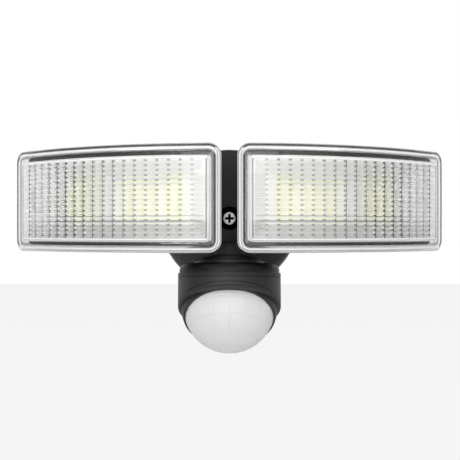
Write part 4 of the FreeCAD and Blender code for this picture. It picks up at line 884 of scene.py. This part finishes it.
def mark_lenslets(shape):
    """Sink the seams between the small lenses, and note each place's distance in mm from the middle of its
    lens."""
    ring = shape.verts.layers.float.new("ring")
    middle = Vector((0, 0, DOME_RISE))
    towards_tip = Vector((0, 0, -1))
    for vertex in shape.verts:
        out = vertex.co - middle
        if vertex.co.z < DOME_RISE and out.length > (DOME_RADIUS + DOME_BORE) / 2:
            tip_angle = round(math.degrees(out.angle(towards_tip)))
            round_angle = math.degrees(math.atan2(out.y, out.x)) % FULL_CIRCLE
            seam, distance = lenslet_at(tip_angle, round_angle)
            vertex[ring] = distance * DOME_RADIUS / MM
            if seam:
                vertex.co -= out.normalized() * SEAM_DEPTH


def make_dome(material):
    """The sensor's half ball of small lenses, with its skirt and flange."""
    outer = dome_arc(DOME_RADIUS, range(QUARTER_CIRCLE + 1))
    rim = [(DOME_RADIUS, DOME_SKIRT), (DOME_FLANGE_RADIUS, DOME_SKIRT), (DOME_FLANGE_RADIUS, DOME_TOP),
           (DOME_BORE, DOME_TOP)]
    inner = dome_arc(DOME_BORE, range(QUARTER_CIRCLE, -1, -DOME_INNER_STEP))
    shape = turned_shape(outer + rim + inner, DOME_SEGMENTS)
    mark_lenslets(shape)
    shape.transform(Matrix.Translation(DOME_PLACE) @ Matrix.Rotation(DOME_LEAN, 4, "X"))
    turn_outward(shape)
    smooth(shape)
    add_piece("dome_of_small_lenses", shape, material, "sensor", "sensor_dome")


# Stage

CAMERA_PLACE = (0.0, -642.0 * MM, -10.5 * MM)
CAMERA_LENS = 61.83
CAMERA_SHIFT = (0.0013, 0.0043)
CAMERA_CLIP_START = 10.0 * MM
FLOOR_HEIGHT = -250.0 * MM
FLOOR_SIZE = 6.0
FLOOR_COLOUR = grey(0.86)
FLOOR_ROUGHNESS = 0.9
FLOOR_WHITENESS = 0.8

# place, size and power of each lamp, all aimed at the object
LAMPS = {
    "top_left": ((-0.9, -1.1, 1.2), 1.0, 5.0),
    "top_right": ((0.9, -1.1, 1.2), 1.0, 5.0),
    "front": ((0.0, -1.8, 0.2), 1.2, 5.8),
    "low": ((-0.35, -1.0, -0.2), 0.3, 1.8),
}
WORLD_LIGHT = 0.55

# what gloss sees of the world: its strength at the sides, and where it is full behind the camera, where the
# sides begin and end, and where it is full behind the object (-1 is behind the camera, 1 behind the object)
SIDE_GLOSS = 0.3
FRONT_END = -0.9
SIDE_START = -0.6
SIDE_END = 0.05
BACK_START = 0.4


def make_camera():
    camera = bpy.data.objects.new("camera", bpy.data.cameras.new("camera"))
    camera.location = CAMERA_PLACE
    camera.rotation_euler = (QUARTER_TURN, 0, 0)
    camera.data.lens = CAMERA_LENS
    camera.data.shift_x, camera.data.shift_y = CAMERA_SHIFT
    camera.data.clip_start = CAMERA_CLIP_START
    bpy.context.scene.collection.objects.link(camera)
    bpy.context.scene.camera = camera


def make_lamps():
    for name, (place, size, power) in LAMPS.items():
        lamp = bpy.data.lights.new(name, "AREA")
        lamp.size = size
        lamp.energy = power
        holder = bpy.data.objects.new(name, lamp)
        holder.location = place
        holder.rotation_euler = (-Vector(place)).to_track_quat("-Z", "Y").to_euler()
        bpy.context.scene.collection.objects.link(holder)


def make_world():
    """Even light all round, and plain white where the camera or glass sees past the object. Gloss sees white
    behind the object and behind the camera, and darker sides."""
    world = bpy.data.worlds.new("studio")
    finish = Finish(world, "ShaderNodeOutputWorld")
    forward = finish.coordinate("Y", "Generated")
    bright = forward.between(SIDE_END, BACK_START).larger(forward.between(SIDE_START, FRONT_END))
    mirrored = SIDE_GLOSS + bright * (1.0 - SIDE_GLOSS)
    glossy = finish.rays("Is Glossy Ray")
    indirect = glossy * mirrored + (1.0 - glossy) * WORLD_LIGHT
    plain = finish.rays("Is Camera Ray").larger(finish.rays("Is Transmission Ray"))
    bpy.context.scene.world = finish.done(finish.add(
        "ShaderNodeBackground", {}, {"Color": grey(1.0), "Strength": plain.larger(indirect)}))


def make_floor():
    shape = bmesh.new()
    bmesh.ops.create_grid(shape, x_segments=1, y_segments=1, size=FLOOR_SIZE / 2,
                          matrix=Matrix.Translation((0, 0, FLOOR_HEIGHT)))
    mesh = bpy.data.meshes.new("floor")
    shape.to_mesh(mesh)
    shape.free()
    finish = new_finish("pale_floor")
    lit = finish.surface(Base_Color=FLOOR_COLOUR, Roughness=FLOOR_ROUGHNESS)
    white = finish.add("ShaderNodeEmission", {}, {"Color": grey(1.0), "Strength": 1.0})
    seen = finish.rays("Is Camera Ray") * FLOOR_WHITENESS
    mesh.materials.append(finish.done(finish.mixed(seen, lit, white)))
    floor = bpy.data.objects.new("floor", mesh)
    bpy.context.scene.collection.objects.link(floor)


def main():
    materials = make_materials()
    make_camera()
    make_lamps()
    make_world()
    make_floor()
    dress_nodes(materials)
    for name, side in SIDES.items():
        make_lens(name, side, materials["clear_polycarbonate"])
    make_screw(materials["nickel_plate"])
    make_dome(materials["milky_dome"])
    bpy.context.scene.view_settings.view_transform = "Standard"


main()
